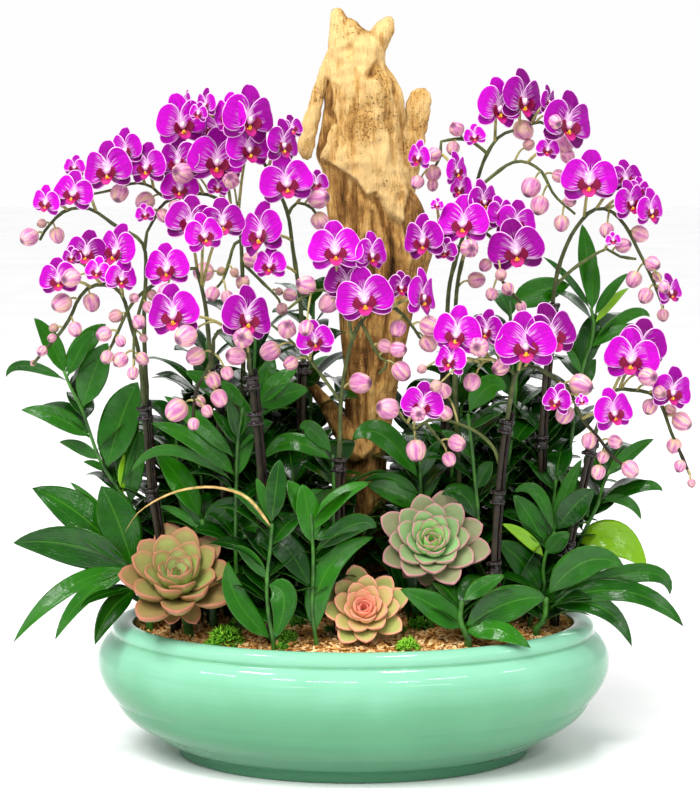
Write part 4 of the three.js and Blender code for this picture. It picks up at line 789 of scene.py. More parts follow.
# Veins: noise drawn out along the blade. Where it crosses its middle value, thin lines run to the rim: white
# ones near the base and dark ones further out, some twenty across a petal.
veins = streaks(tree, (1.1, 15.0, 40.0), 1.0)
line = ranged(tree, maths(tree, "ABSOLUTE", maths(tree, "SUBTRACT", veins, 0.5)), 0.005, 0.062, 1.0, 0.0)
tone = maths(tree, "MULTIPLY_ADD", veins, 0.35, copy)
base = ramped(tree, tone, (0.15, "#3e0034"), (0.5, "#6e0068"), (0.8, "#9a0098"), (1.05, "#ba02b8"))
base = mixed(tree, maths(tree, "MULTIPLY", line, 0.4), base, "#7a046c")
rays = maths(tree, "MULTIPLY", line, ranged(tree, along, 0.15, 0.62, 1.0, 0.0))
flare = maths(tree, "ADD", rays, ranged(tree, along, 0.05, 0.28, 0.95, 0.0), use_clamp=True)
base = mixed(tree, flare, base, "#fad8f6")
# The margin is the last millimetre before the rim.
base = mixed(tree, ranged(tree, rim, 0.55, 0.95, 1.0, 0.0), base, "#f7c0f2")
base = mixed(tree, maths(tree, "MULTIPLY", under, 0.45), base, "#b45cae")
paint(tree, shader, base, veins, 0.3, 0.0008)
print("the petal is ready")

# %% Lip, callus, column, bud and stalk
lip = mottled(
    "orchid_lip", 500.0, (0.15, "#64002a"), (0.6, "#84003c"), (0.85, "#a20256"), (1.15, "#ba1c80"),
    over=("along", 0.3), Roughness=0.45, Specular_IOR_Level=0.25)
callus = mottled(
    "orchid_callus", 700.0, (0.38, "#a8380a"), (0.5, "#f0a812"), (0.7, "#ffd23e"), Roughness=0.45)
pearl = mottled(
    "orchid_column", 350.0, (0.3, "#a83a86"), (0.65, "#e7a6d2"), (0.95, "#fff3ea"),
    over=("along", 0.3), Roughness=0.35)
stalk = mottled(
    "orchid_stalk", 120.0,
    (0.1, "#160d0a"), (0.35, "#2a2214"), (0.6, "#39431f"), (0.85, "#626a35"), (1.1, "#a89e62"),
    detail=3.0, over=("tint", 0.6), bump=(0.4, 0.0006), Roughness=0.45, Specular_IOR_Level=0.3)

# Eight fine seams run from a bud's stalk to its tip. Its foot is greenish, its tip dark, and a young bud
# dull.
SEAM_TURNS = 50.3
bud_skin, tree, shader = material("orchid_bud", Roughness=0.42)
along, across, copy = carried(tree, "along", "across", "tint")
seam = maths(tree, "SINE", maths(tree, "MULTIPLY", across, SEAM_TURNS))
lined = maths(tree, "MULTIPLY_ADD", seam, 0.07, streaks(tree, (1.5, 14.0, 30.0), 2.0))
base = ramped(tree, lined, (0.34, "#b4609a"), (0.45, "#cd85ac"), (0.56, "#dfa4b2"), (0.7, "#dcbf92"))
base = mixed(tree, ranged(tree, seam, 0.8, 1.0, 0.0, 0.35), base, "#a44f86")
base = mixed(tree, ranged(tree, along, 0.02, 0.3, 0.6, 0.0), base, "#c6b078")
base = mixed(tree, ranged(tree, along, 0.9, 0.99), base, "#5e2450")
base = mixed(tree, ranged(tree, copy, 0.45, 0.0, 0.0, 0.8), base, "#94804f")
paint(tree, shader, base, lined, 0.5, 0.001)
print("lip, callus, column, stalk and bud are ready")

# %% [markdown]
# ## Where the sprays grow
# Each spray is a stem rooted in the mix, side branches, blooms and buds. The table repeats the places that
# the solids were built from, apart from a few blooms and stem tips that were measured again, and adds the
# smallest buds, which the solids leave out. Pixels run from root to tip. A bloom lists its centre and width,
# and if they aren't the usual ones, its height and how far it stands forward of the stem. A bud lists its
# centre and length.

# %% Sprays table
# How far forward of its branch a bloom stands in millimetres: in front of others, behind them, and usually.
FRONT, BEHIND, BLOOM_LIFT = 27, 8, 18
# The usual height of a bloom by its width, and the radii of stems and twigs at their feet and tips.
BLOOM_ASPECT = 0.86
STEM_RADII, TWIG_RADII = (2.9, 1.3), (1.6, 1.12)
SPRAYS = {
    1: dict(
        root=[-158, -46], depths=[-48, -72],
        stem=[[152, 500], [146, 430], [140, 360], [131, 325], [122, 295], [108, 285], [90, 287], [78, 300],
              [70, 318], [57, 337], [44, 351], [33, 364]],
        blooms=[[118, 251, 40, 45], [87, 252, 40, 36, BEHIND], [98, 271, 26, 24, FRONT],
                [120.5, 278, 33, 29, FRONT], [59, 279, 38, 35], [72, 257, 20, 18, BEHIND]],
        buds=[[62, 303, 19], [91.5, 302, 17], [71, 278, 19], [75, 329, 14], [54, 328, 9], [52, 338, 9],
              [42, 351, 11], [33, 363, 6]]),
    2: dict(
        root=[-160, 8], depths=[6, -20],
        stem=[[154, 512], [149, 440], [146, 380], [144, 320], [146, 262], [140, 240], [116, 226], [90, 209],
              [65, 211], [47, 228], [40, 240]],
        blooms=[[47, 202, 25, 28], [74, 193, 37, 36], [75, 167, 22, 20, BEHIND]],
        buds=[[29.5, 237, 17.5], [57, 235, 15], [42, 223.5, 9]]),
    3: dict(
        root=[-107, -22], depths=[-26, -86],
        stem=[[222, 480], [217, 400], [210, 350], [206, 310], [201, 285], [196, 268], [190, 268], [165, 279],
              [146, 290], [131, 305], [121, 325], [112, 345], [108, 352]],
        sides=[[-72, -82, [[146, 290], [139, 312], [134, 340], [134, 365]]]],
        blooms=[[203, 235, 40, 36, FRONT], [190, 222, 50, 43, BEHIND], [222, 222, 45, 38, BEHIND],
                [168, 268, 45, 41]],
        buds=[[104, 334, 15], [116, 316, 13], [120.5, 341, 11], [107, 357, 13], [142, 358.5, 13],
              [139, 322, 14], [133, 373, 12], [152, 295, 11], [165.6, 291.5, 16], [120.5, 359.6, 15],
              [143.5, 338, 8], [148, 307, 11], [134, 298, 10]]),
    4: dict(
        root=[-98, 46], depths=[46, 30],
        stem=[[241, 480], [243, 400], [243, 300], [241, 240], [238, 215], [228, 205], [205, 194], [178, 197],
              [162, 205], [154, 220], [147, 232], [145, 250]],
        sides=[[34, 26, [[195, 196], [165, 197], [152, 187], [135, 183], [112, 190], [93, 194]]],
               [38, 34, [[241, 240], [234, 245], [229, 262], [223, 280], [214, 290]]],
               [40, 36, [[245, 262], [263, 283], [279, 300], [281, 315]]]],
        blooms=[[180, 123, 50, 47], [188, 103, 9, 22, BEHIND], [180, 161, 40, 42, 20], [216, 160, 59, 50, 24],
                [247, 148, 42, 44, 44], [180, 188, 38, 33], [145, 214, 20], [218, 187, 22, 19],
                [148, 166, 30, 38], [109, 169, 43, 45], [127, 150, 25, 36, BEHIND],
                [218, 130, 44, 40, BEHIND]],
        buds=[[119.4, 193, 18], [145.5, 201, 18], [163, 215.4, 13], [182.6, 173, 21], [231, 180.4, 17],
              [204, 272, 19], [212.5, 293.8, 14], [242.6, 282, 15], [252.7, 259, 18], [282, 309, 12],
              [289.5, 295, 13], [175, 206.5, 13], [227, 297, 12.5], [221.4, 271.4, 9], [234.4, 272.5, 9],
              [279, 291.5, 8]]),
    5: dict(
        root=[-40, 18], depths=[18, 0],
        stem=[[306, 500], [303, 420], [304, 368], [300, 300], [293, 250], [288, 215], [278, 190], [262, 160],
              [240, 135], [222, 121], [208, 114]],
        sides=[[8, 4, [[288, 215], [296, 203], [312, 208], [320, 222]]]],
        blooms=[[199, 113, 18, 18, BEHIND], [207, 104, 13, 26, BEHIND], [231, 116, 32, 38],
                [247, 118, 50, 52], [281, 144, 36, 40], [291, 128, 24, 22, BEHIND], [286, 182, 54, 46],
                [316, 183, 25, 22, BEHIND], [263, 233, 46, 51], [271, 265, 35, 31, FRONT]],
        buds=[[318, 198, 21], [320, 221, 18]]),
    6: dict(
        root=[-72, -92], depths=[-92, -104],
        stem=[[262, 500], [256, 430], [250, 370], [246, 340], [238, 328], [223, 329], [214, 337], [213, 355],
              [206, 372], [197, 388], [194, 405], [193, 420]],
        blooms=[[175, 314, 47, 49], [245, 317, 50, 51]],
        buds=[[186, 336, 22], [243, 338, 21], [196, 356, 18], [236, 356, 19], [213, 380, 16], [219, 398, 17],
              [207, 411, 12], [177, 410, 22], [193.5, 424, 12], [227, 373, 13], [200, 401, 11]]),
    7: dict(
        root=[-14, -72], depths=[-72, -84],
        stem=[[338, 500], [340, 440], [341, 400], [347, 360], [354, 335], [364, 318], [380, 306], [396, 309],
              [410, 323], [420, 338]],
        sides=[[-78, -84, [[352, 340], [345, 305], [324, 290], [305, 296], [288, 309]]],
               [-76, -84, [[341, 402], [325, 380], [312, 363], [290, 340], [272, 325]]],
               [-80, -88, [[368, 327], [379, 356], [388, 363], [379, 374]]]],
        blooms=[[335, 250, 54, 46], [370, 254, 30, 36, BEHIND], [347, 283, 45, 38, BEHIND],
                [365, 298, 58, 50], [400, 287, 25, 26, BEHIND], [420, 296, 34, 45],
                [315, 340, 38, 32, FRONT]],
        buds=[[287, 329, 19], [270.5, 351, 19], [291, 363, 14], [306, 285, 19], [329, 303, 19],
              [398, 328, 16], [430, 326, 20], [428, 343, 17], [401, 371, 19], [360, 383, 21], [306, 328, 15],
              [385, 346, 14], [398, 349.5, 16]]),
    8: dict(
        root=[88, 30], depths=[30, 6],
        stem=[[448, 450], [447, 380], [448, 300], [455, 262], [470, 215], [479, 175], [488, 152], [500, 136],
              [515, 130], [540, 122], [556, 130]],
        sides=[[14, -8, [[484, 152], [477, 145], [464, 139], [448, 140], [440, 143], [441, 155], [430, 175]]],
               [16, -6, [[486, 192], [495, 174], [511, 163], [526, 162], [540, 170], [546, 179], [555, 196],
                         [575, 214]]]],
        blooms=[[497, 107, 51, 47], [521, 100, 48, 50, BEHIND], [547, 101, 16, 26, BEHIND],
                [566, 123, 36, 52], [475, 136, 22, 20, FRONT], [547.5, 149, 24, 21], [420, 157, 23, 27],
                [455, 170, 27, 30], [462, 188, 25, 27]],
        buds=[[456.7, 129, 15], [523, 130, 20], [563.6, 144, 18], [433.7, 154.5, 14.5], [433, 173, 16],
              [531, 187, 19], [539.7, 205, 18], [561.6, 223, 15], [558.7, 176, 13], [554.7, 122, 15],
              [528.6, 145, 11], [453, 148, 13], [417.6, 182, 13], [432.6, 185, 11], [567.6, 156, 14],
              [570, 201, 12]]),
    9: dict(
        root=[97, -2], depths=[-4, -30],
        stem=[[458, 450], [455, 380], [456, 300], [462, 262], [470, 240], [485, 232], [495, 245], [497, 265],
              [503, 282], [514, 295], [521, 303]],
        sides=[[-14, -24, [[462, 250], [450, 243], [435, 243], [425, 242]]]],
        blooms=[[425, 240, 36, 42], [464, 223, 50, 45], [482, 201, 31, 35, BEHIND], [516, 249, 57, 45],
                [515, 222, 40, 36, BEHIND], [500, 214, 28, 30, BEHIND], [437, 205, 14],
                [446, 251, 25, 22, FRONT]],
        buds=[[469.4, 248.4, 19], [476, 280, 16], [501, 275, 12], [507.8, 289, 13], [521, 306.5, 11],
              [485.5, 265, 12.5], [491.7, 294, 12]]),
    10: dict(
        root=[168, 16], depths=[18, -16],
        stem=[[540, 500], [541, 440], [545, 380], [551, 320], [557, 274], [569, 240], [582, 220], [593, 210],
              [606, 209], [617, 216], [628, 230], [638, 250], [648, 270], [657, 290], [663, 308]],
        sides=[[6, -14, [[561, 286], [573, 269], [591, 257], [607, 249], [618, 256], [636, 259]]]],
        blooms=[[589, 180, 56, 48], [629, 202, 34, 36], [625, 178, 30, 30, BEHIND], [649, 210, 27, 35],
                [638, 190, 25, 22, BEHIND], [669, 291.5, 20, 30], [613, 240, 16]],
        buds=[[606.7, 230, 14], [639, 234, 17], [623, 245.5, 15], [652.5, 263.6, 15], [634, 279, 15.5],
              [645.8, 295.5, 15], [663, 315, 12], [656, 277, 11], [664, 287.5, 12]]),
    11: dict(
        root=[127, -78], depths=[-80, -104],
        stem=[[494, 570], [497, 505], [502, 450], [508, 415], [513, 385], [518, 370], [535, 367], [551, 376],
              [564, 385], [573, 397], [582, 419], [598, 437], [613, 457], [625, 466]],
        sides=[[-88, -98, [[516, 374], [495, 360], [480, 363], [470, 360]]],
               [-82, -100, [[496, 465], [493, 447], [475, 431], [446, 420], [430, 420], [415, 429],
                            [416, 438]]],
               [-98, -102, [[426, 423], [446, 448]]],
               [-98, -104, [[415, 430], [398, 413]]]],
        blooms=[[526, 344, 61, 50], [550, 335, 50, 52, BEHIND], [458, 333, 47, 45],
                [488, 330, 30, 34, BEHIND], [452, 360, 32, 33], [557.6, 401, 26, 29], [582, 401, 14],
                [612, 412, 36, 40], [422.5, 404, 43, 35, FRONT]],
        buds=[[580.6, 385, 22], [565, 414, 18], [589, 440.6, 15], [615, 441.7, 14], [598.4, 472, 14],
              [630, 469, 17], [472, 382, 17], [479, 347, 20], [500.7, 367, 17], [388, 408.7, 22],
              [443.7, 391, 15], [416, 450, 20], [456.7, 443, 17], [603, 456.7, 12], [418, 414, 16],
              [436, 386, 12], [445, 413.6, 15], [449, 459, 14], [422, 369, 9]]),
    12: dict(
        root=[178, -22], depths=[-36, -70],
        stem=[[567, 548], [578, 500], [590, 450], [600, 420], [610, 395], [618, 389], [631, 390], [647, 392],
              [658, 399], [665, 414], [671, 432], [680, 452], [690, 475]],
        blooms=[[632, 358, 56, 48], [642, 345, 50, 43, BEHIND], [671, 391, 34, 40]],
        buds=[[648, 377, 19], [660, 392, 13], [650, 406.5, 15], [681.5, 421.4, 19], [674, 445.5, 15],
              [680, 466, 12], [691.5, 483, 8.5], [670, 410, 12]]),
}
print("sprays:", len(SPRAYS), "blooms:", sum(len(spray["blooms"]) for spray in SPRAYS.values()))

# %% [markdown]
# ## Stems and branches
# A stem leaves the mix straight up and then follows its pixels, while its depth moves evenly. A side branch
# leaves the nearest place on the paths before it. The same paths carry stems, stakes, blooms and buds.

# %% Paths of a spray
def planted(root, pixels, depths, pitch):
    """A path from the root's end in the mix, up through pixels, with the depth spread by pixel distance."""
    pixels = np.array(pixels, float)
    walked = walk(pixels)
    points = at(pixels[:, 0], pixels[:, 1], np.interp(walked, [0, max(walked[-1], 1)], depths))
    surface = np.array([*root, SOIL_TOP + ROOT_RISE])
    return np.vstack([[*root, ROOT_END], smooth(np.vstack([surface, points]), pitch)])


def spray_paths(spray):
    """The stem and the side branches of a spray, finely divided."""
    paths = [planted(spray["root"], spray["stem"], spray["depths"], 8)]
    for near, far, pixels in spray.get("sides", []):
        joint = nearest(paths, at(*pixels[0], near))
        rest = np.array(pixels[1:], float)
        shares = np.arange(1, len(rest) + 1) / len(rest)
        points = at(rest[:, 0], rest[:, 1], near + (far - near) * shares)
        paths.append(smooth(np.vstack([joint, points]), 7))
    return paths


def settle(paths, px, py, depth, lift):
    """The place of a bloom or bud: at the depth of the branch behind its pixel, moved forward by a lift."""
    for step in range(3):
        depth = nearest(paths, at(px, py, depth))[1]
    return at(px, py, depth - lift)


PATHS = {number: spray_paths(spray) for number, spray in SPRAYS.items()}
print("branches of each spray:", {number: len(paths) for number, paths in PATHS.items()})

# %% [markdown]
# ## A bloom
# A moth orchid has three sepals behind and two broad round petals in front. Below them is the lip: two
# upright side lobes, a middle lobe that points down and forward, and a callus between them. The column
# stands over it. Each part is a blade or an egg in the bloom's own frame, in shares of its width, and the
# whole set is laid out for all blooms of a spray together.

# %% Bloom shapes
TEPAL_RINGS, TEPAL_COLUMNS, BUD_SIDES = 11, 14, 12
LOBE_POINTS, EGG_POINTS, BUD_POINTS, BEAD_POINTS = 8, 7, 9, 6
COLUMN_FOOT, BLOOM_RISE = -0.09, 0.055
# Lobes of a bud, how high they stand by its radius, the share of it before its centre, and its stretch.
BUD_LOBES, BUD_LOBE_RISE, BUD_MIDDLE, BUD_STRETCH = 4, 0.05, 0.47, 1.14
# Angle, length, half width, how egg-shaped, start forward, tip forward, and share of full brightness.
# All lengths of a bloom are shares of its width.
TEPALS = [
    [90, 0.59, 0.208, 0.10, -0.030, -0.045, 0.46],
    [-31, 0.49, 0.166, 0.05, -0.030, -0.020, 0.36],
    [211, 0.49, 0.166, 0.05, -0.030, -0.020, 0.36],
    [22, 0.510, 0.304, 0.24, 0.010, 0.000, 0.64],
    [158, 0.510, 0.304, 0.24, 0.010, 0.000, 0.64]]
TEPAL_BULGE, TEPAL_HALF_THICK = 0.05, 0.35
# Unevenness of a tepal's angle in degrees, and the least and most wave of its edge and cupping of its sides.
TEPAL_SPREAD, TEPAL_WAVE, TEPAL_CUP = 3, (0.006, 0.018), (0.03, 0.10)
# The right side lobe of the lip: its foot, its tip, its bow and its side. The left one mirrors it.
SIDE_LOBE = np.array([[0.03, -0.24, 0.05], [0.15, -0.02, 0.10], [0.06, 0, 0.02], [0.85, -0.45, 0.25]])
SIDE_LOBE_HALF, MIDDLE_LOBE_HALF, LOBE_CUP, LOBE_HALF_THICK = 0.08, 0.125, 0.03, 0.3
MIDDLE_LOBE_FOOT = np.array([0, -0.2, 0.055])
# The column and the callus: finish, foot, head, half width, sides, and how egg-shaped.
EGGS = [
    (pearl, [0, -0.16, 0.03], [0, -0.03, 0.125], 0.05, 8, -0.25),
    (callus, [0, -0.26, 0.09], [0, -0.17, 0.13], 0.034, 6, 0),
    (callus, [-0.065, -0.235, 0.09], [0.065, -0.235, 0.09], 0.026, 6, 0)]
# Stems have a node about every 52 mm, swollen over a few millimetres.
NODE_PITCH, NODE_REACH = 52, 3.5
# Height over which the darkening of a stem below its highest clip fades out.
STEM_DARKENING_FADE = 8


def egg(count, skew):
    """Positions along, bunched at both ends, and half widths of an egg outline: sin(a) (1 - skew cos(a)) at
    the position (1 - cos(a)) / 2, for a from 0 to a half turn."""
    a = np.linspace(0, np.pi, count)
    return (1 - np.cos(a)) / 2, np.sin(a) * (1 - skew * np.cos(a))


def add_blooms(pile, centres, frames, widths, tint, rng):
    """All parts of k blooms. frames holds right, top and facing as rows, and shapes are shares of width."""
    k = len(centres)
    scale = widths[:, None]

    def placed(local):
        return centres[:, None] + scale[..., None] * ((local + [0, BLOOM_RISE, 0]) @ frames)

    for angle, length, broad, skew, near, tip, bright in TEPALS:
        u, outline = egg(TEPAL_RINGS + 2, skew)
        swing = np.radians(angle + rng.normal(0, TEPAL_SPREAD, k))[:, None]
        way = np.stack([np.cos(swing), np.sin(swing), 0 * swing], -1)
        forward = near + (tip - near) * u + TEPAL_BULGE * np.sin(np.pi * u)
        local = [0, COLUMN_FOOT, 0] + way * (u * length)[None, :, None] + forward[None, :, None] * UP
        side = np.cross(way, UP) @ frames
        half = scale * broad * outline * rng.uniform(0.95, 1.05, (k, 1))
        phase, amount = rng.uniform(0, 6.3, (k, 1, 1)), rng.uniform(*TEPAL_WAVE, (k, 1, 1))
        cup = rng.uniform(*TEPAL_CUP, (k, 1, 1))

        def rise(cos):
            wave = amount * np.sin(4 * cos + phase) * cos ** 2 * u[None, :, None]
            return scale[..., None] * (wave + cup * broad * 2 * cos ** 2 * outline[None, :, None])

        tones = tint * 0.5 - 0.12 + bright + rng.uniform(-0.08, 0.08, k)
        blades(pile, petal, placed(local), side, half, TEPAL_HALF_THICK, TEPAL_HALF_THICK, rise,
               tint=tones, columns=TEPAL_COLUMNS, shares=u)

    for hand in (-1, 1):
        u, outline = egg(LOBE_POINTS, -0.1)
        start, end, bow, side = SIDE_LOBE * [hand, 1, 1]
        local = start + (end - start) * u[:, None] + bow * np.sin(np.pi * u)[:, None]
        blades(pile, lip, placed(local), (unit(side) @ frames)[:, None], scale * SIDE_LOBE_HALF * outline,
               LOBE_HALF_THICK, LOBE_HALF_THICK, lambda cos: scale[..., None] * LOBE_CUP * hand * cos ** 2,
               tint=tint, columns=8, shares=u * 0.5)
    u, outline = egg(LOBE_POINTS, -0.3)
    local = MIDDLE_LOBE_FOOT + np.stack([0 * u, -0.15 * u, 0.09 * np.sin(1.9 * u)], -1)
    blades(pile, lip, placed(local), frames[:, 0][:, None], scale * MIDDLE_LOBE_HALF * outline,
           LOBE_HALF_THICK, LOBE_HALF_THICK, lambda cos: scale[..., None] * -LOBE_CUP * cos ** 2,
           tint=tint, columns=10, shares=0.5 + 0.5 * u)
    for finish, foot, head, girth, sides, skew in EGGS:
        u, outline = egg(EGG_POINTS, skew)
        path = placed(np.array(foot) + (np.array(head) - np.array(foot)) * u[:, None])
        rings, *ends = tubes(path, scale * girth * outline, sides, toward=(0.9, 0.2, 0.1))
        pile.add(finish, rings[:, 1:-1], path[:, 0], path[:, -1], along=u[1:-1], tint=tint)


def add_buds(pile, centres, axes, sizes, tint):
    """Buds: an egg about the axis with four faint lobes, blunt at the stalk and drawn in at the tip."""
    u, outline = egg(BUD_POINTS, -0.12)
    path = centres[:, None] + axes[:, None] * (sizes[:, None] * (u - BUD_MIDDLE) * BUD_STRETCH)[..., None]
    rings, *ends = tubes(path, 0.5 * sizes[:, None] * outline ** 0.9, BUD_SIDES)
    lobed = (1 + BUD_LOBE_RISE * np.cos(BUD_LOBES * circle(BUD_SIDES)))[None, None, :, None]
    rings = path[:, :, None] + (rings - path[:, :, None]) * lobed
    pile.add(bud_skin, rings[:, 1:-1], path[:, 0], path[:, -1], along=u[1:-1], tint=tint)


def add_rod(pile, finish, path, start, end, sides=8, tint=0.5, joints=0.0, dark_below=None):
    """A tapering rod, with low swellings where its joints are given as a share. It is dark below a height."""
    walked = walk(path)
    radius = start + (end - start) * walked / walked[-1]
    swelling = 1 + joints * np.exp(-(((walked % NODE_PITCH) - NODE_PITCH / 2) / NODE_REACH) ** 2)
    rings, *ends = tubes(path[None], radius * swelling, sides)
    if dark_below:
        tint = tint * np.clip((path[:, 2] - dark_below) / STEM_DARKENING_FADE, 0, 1)[None, :, None]
    pile.add(finish, rings, *ends, tint=tint)


print("bloom parts:", len(TEPALS), "tepals, 3 lobes,", len(EGGS), "eggs")

# %% [markdown]
# ## The flower sprays
# A bloom looks towards the viewer, and turns away from its stem when it looks narrow in the photograph. Its
# stalk leaves the branch a little nearer the root and arches to the back of the bloom. A bud hangs on a
# thinner stalk. Small buds at the tips are still green.

# %% Build the sprays
# How far buds stand forward of their branch, in turn, or in front of a bloom that would hide them.
BUD_LIFTS, BUD_CLEARANCE = (6, -3, 3), 12
# Rise of a stalk's middle as a share of its length, and its radius.
BLOOM_STALK, BUD_STALK = (0.12, 1.3), (0.18, 0.95)
# Pixel size from which a bud grows rosier, and over how many pixels. Smaller ones are green.
BUD_GREEN, BUD_RIPENING = 8, 9
# Unevenness of a bloom's turn and nod in radians, the share of the nod that it takes, and its most roll.
TURN_SPREAD, NOD_SPREAD, NOD_SHARE, BLOOM_ROLL = 0.12, 0.06, 0.6, 0.16
# A bloom hides a bud that is nearer to its centre than this share of its width. Buds lean down and forward.
COVER_SHARE, BUD_DROOP = 0.55, 0.6 * np.array([0, -0.2, -0.5])
STEM_TINT, TWIG_TINT, STALK_TINT = 0.32, 0.42, 0.68
# For each staked spray, the side of its stake and the pixel places of its clips from the highest down. Below
# the highest clip the stem is painted dark.
STAKES = {
    1: [1, [[147, 413], [152, 495]]], 3: [1, [[213, 376]]], 5: [-1, [[305, 368]]],
    6: [1, [[250, 383], [257, 419], [266, 525]]], 7: [1, [[340, 465]]], 8: [-1, [[448, 330]]],
    10: [1, [[554, 310], [540, 442]]], 11: [1, [[508, 427], [496, 497], [492, 568]]],
    12: [1, [[591, 449], [567, 547]]]}
BOUND = {number: at(*clips[0], SPRAYS[number]["depths"][0])[2] for number, (hand, clips) in STAKES.items()}


def facing_of(centre, width, height, joint, rng):
    """The direction that a bloom looks in, and its true width: towards the eye, turned about the upright by
    the angle that explains a narrow look, and tipped by the one that explains a low look."""
    full = height / BLOOM_ASPECT
    turn = np.arccos(np.clip(width / full, 0.3, 1)) * (-1 if centre[0] < joint[0] else 1)
    nod = NOD_SHARE * np.arccos(np.clip(full / width, 0.8, 1))
    facing = turned(unit(EYE - centre), UP, np.array(turn + rng.normal(0, TURN_SPREAD)))
    return turned(facing, RIGHT, np.array(nod + rng.normal(0, NOD_SPREAD))), max(width, full)


def stalks(pile, joints, ends, rise, radius):
    """Stalks from the branch to blooms or buds: quadratic curves, raised in the middle."""
    gap = np.linalg.norm(ends - joints, axis=1, keepdims=True)
    middle = (joints + ends) / 2 + UP * rise * gap
    paths = bezier(joints, middle, ends, np.linspace(0, 1, 6))
    rings, *caps = tubes(paths, radius * np.linspace(1.15, 0.85, 6), 6)
    pile.add(stalk, rings, *caps, tint=STALK_TINT)


def build_spray(number, spray):
    """One spray: rods for the branches, then its blooms and its buds with their stalks."""
    rng = np.random.default_rng(100 + number)
    paths, pile = PATHS[number], Pile()
    bound = BOUND.get(number)
    add_rod(pile, stalk, paths[0], *STEM_RADII, sides=10, tint=STEM_TINT, joints=0.25, dark_below=bound)
    for path in paths[1:]:
        add_rod(pile, stalk, path, *TWIG_RADII, tint=TWIG_TINT, joints=0.3)
    depth = spray["depths"][1]
    rows, seen = [], []
    for px, py, width, *rest in spray["blooms"]:
        height, lift = (rest + [width * BLOOM_ASPECT, BLOOM_LIFT][len(rest):])[:2]
        centre = settle(paths, px, py, depth, lift)
        joint = nearest(paths, nearest(paths, centre, 0.4))
        facing, full = facing_of(centre, size_at(width, centre[1]), size_at(height, centre[1]), joint, rng)
        roll = BLOOM_ROLL * np.sin(1.7 * px + py)
        right = turned(unit(np.cross(UP, facing)), facing, np.array(roll))
        rows.append([centre, joint, right, np.cross(facing, right), facing, [full, lift, 0]])
        seen.append([px, py, width, lift])
    rows = np.array(rows)
    centres, joints, frames = rows[:, 0], rows[:, 1], rows[:, 2:5]
    widths, lifts = rows[:, 5, 0], rows[:, 5, 1]
    # Blooms that stand further back are painted darker, as shade among the others, on top of a random spread.
    bright = np.clip(0.25 + 0.025 * lifts + rng.uniform(-0.7, 0.2, len(rows)), 0, 1)
    add_blooms(pile, centres, frames, widths, bright, rng)
    backs = centres + (frames[:, 1] * COLUMN_FOOT - frames[:, 2] * 0.02) * widths[:, None]
    stalks(pile, joints, backs, *BLOOM_STALK)
    rows = []
    for i, (px, py, size) in enumerate(spray["buds"]):
        covers = [lift for x, y, width, lift in seen if np.hypot(px - x, py - y) < COVER_SHARE * width]
        lift = max(covers) + BUD_CLEARANCE if covers else BUD_LIFTS[i % len(BUD_LIFTS)]
        centre = settle(paths, px, py, depth, lift)
        joint = nearest(paths, nearest(paths, centre, 0.6))
        axis = unit(unit(centre - joint) + BUD_DROOP)
        rows.append([centre, joint, axis, [size_at(size, centre[1]), size, 0]])
    rows = np.array(rows)
    sizes = rows[:, 3, 0]
    ripe = np.clip((rows[:, 3, 1] - BUD_GREEN) / BUD_RIPENING, 0, 1)
    tint = ripe * 0.5 + rng.uniform(0, 0.4, len(rows))
    add_buds(pile, rows[:, 0], rows[:, 2], sizes, tint)
    stalks(pile, rows[:, 1], rows[:, 0] - rows[:, 2] * sizes[:, None] * 0.5, *BUD_STALK)
    pile.write(f"orchid_spray_{number}", "orchid_petal", f"spray_{number}")


for number, spray in SPRAYS.items():
    build_spray(number, spray)

# %% [markdown]
# ## Stakes and clips
# Most stems are tied to a lacquered wire stake, nearly black and glossy, by moulded spring clips. A clip is
# two rings with three pairs of beads, where it hinges and opens. Stake and clips make one piece: a rod beside
# the path of the stem, and on that path a spool with eggs for each clip.

# %% Lacquer
# The lacquer stands in drops about 3 mm across and twice as tall.
lacquer = mottled(
    "stake_lacquer", 330.0, (0.35, "#0a0504"), (0.55, "#1c0f09"), (0.8, "#442b1b"),
    drawn=(1, 1, 0.5), bump=(0.7, 0.0012), Roughness=0.3, Specular_IOR_Level=0.2)
clip_plastic = mottled("clip_plastic", 260.0, (0.3, "#0b0807"), (0.7, "#241a18"), Roughness=0.16, IOR=1.5)
print("lacquer and plastic are ready")

# %% Build the stakes
STAKE_RADIUS, STAKE_OFFSET, CLIP_HEIGHT = 2.1, 4.1, 8.0
# Height along the stem and radius of a clip's two rings, and the places, length and radius of its beads.
SPOOL = np.array([
    [-6.0, 3.6], [-5.6, 5.3], [-4.3, 6.0], [-3.0, 5.3], [-2.4, 4.4], [2.4, 4.4], [3.0, 5.3], [4.3, 6.0],
    [5.6, 5.3], [6.0, 3.6]])
BEADS = np.array([[x, y, z] for x, y in ((-5.3, -2.4), (5.3, -2.4), (5.3, 4)) for z in (-4.3, 4.3)])
BEAD_LENGTH, BEAD_RADIUS = 3.8, 1.5


def add_clip(pile, stem, spot):
    """One clip on a stem: a spool along it, and an egg for each bead, laid out square to it."""
    i = int(np.linalg.norm(stem - spot, axis=1).argmin())
    way = unit(stem[min(i + 1, len(stem) - 1)] - stem[i - 1])
    rings, *ends = tubes((spot + way * SPOOL[:, :1])[None], SPOOL[:, 1], 14)
    pile.add(clip_plastic, rings, *ends)
    across = unit(np.cross([0.15, 1, 0.1], way))
    beads = spot + BEADS @ np.stack([across, np.cross(way, across), way])
    u, outline = egg(BEAD_POINTS, 0)
    path = beads[:, None] + way * ((u - 0.5) * BEAD_LENGTH)[None, :, None]
    rings, *ends = tubes(path, BEAD_RADIUS * outline, 8)
    pile.add(clip_plastic, rings[:, 1:-1], path[:, 0], path[:, -1])


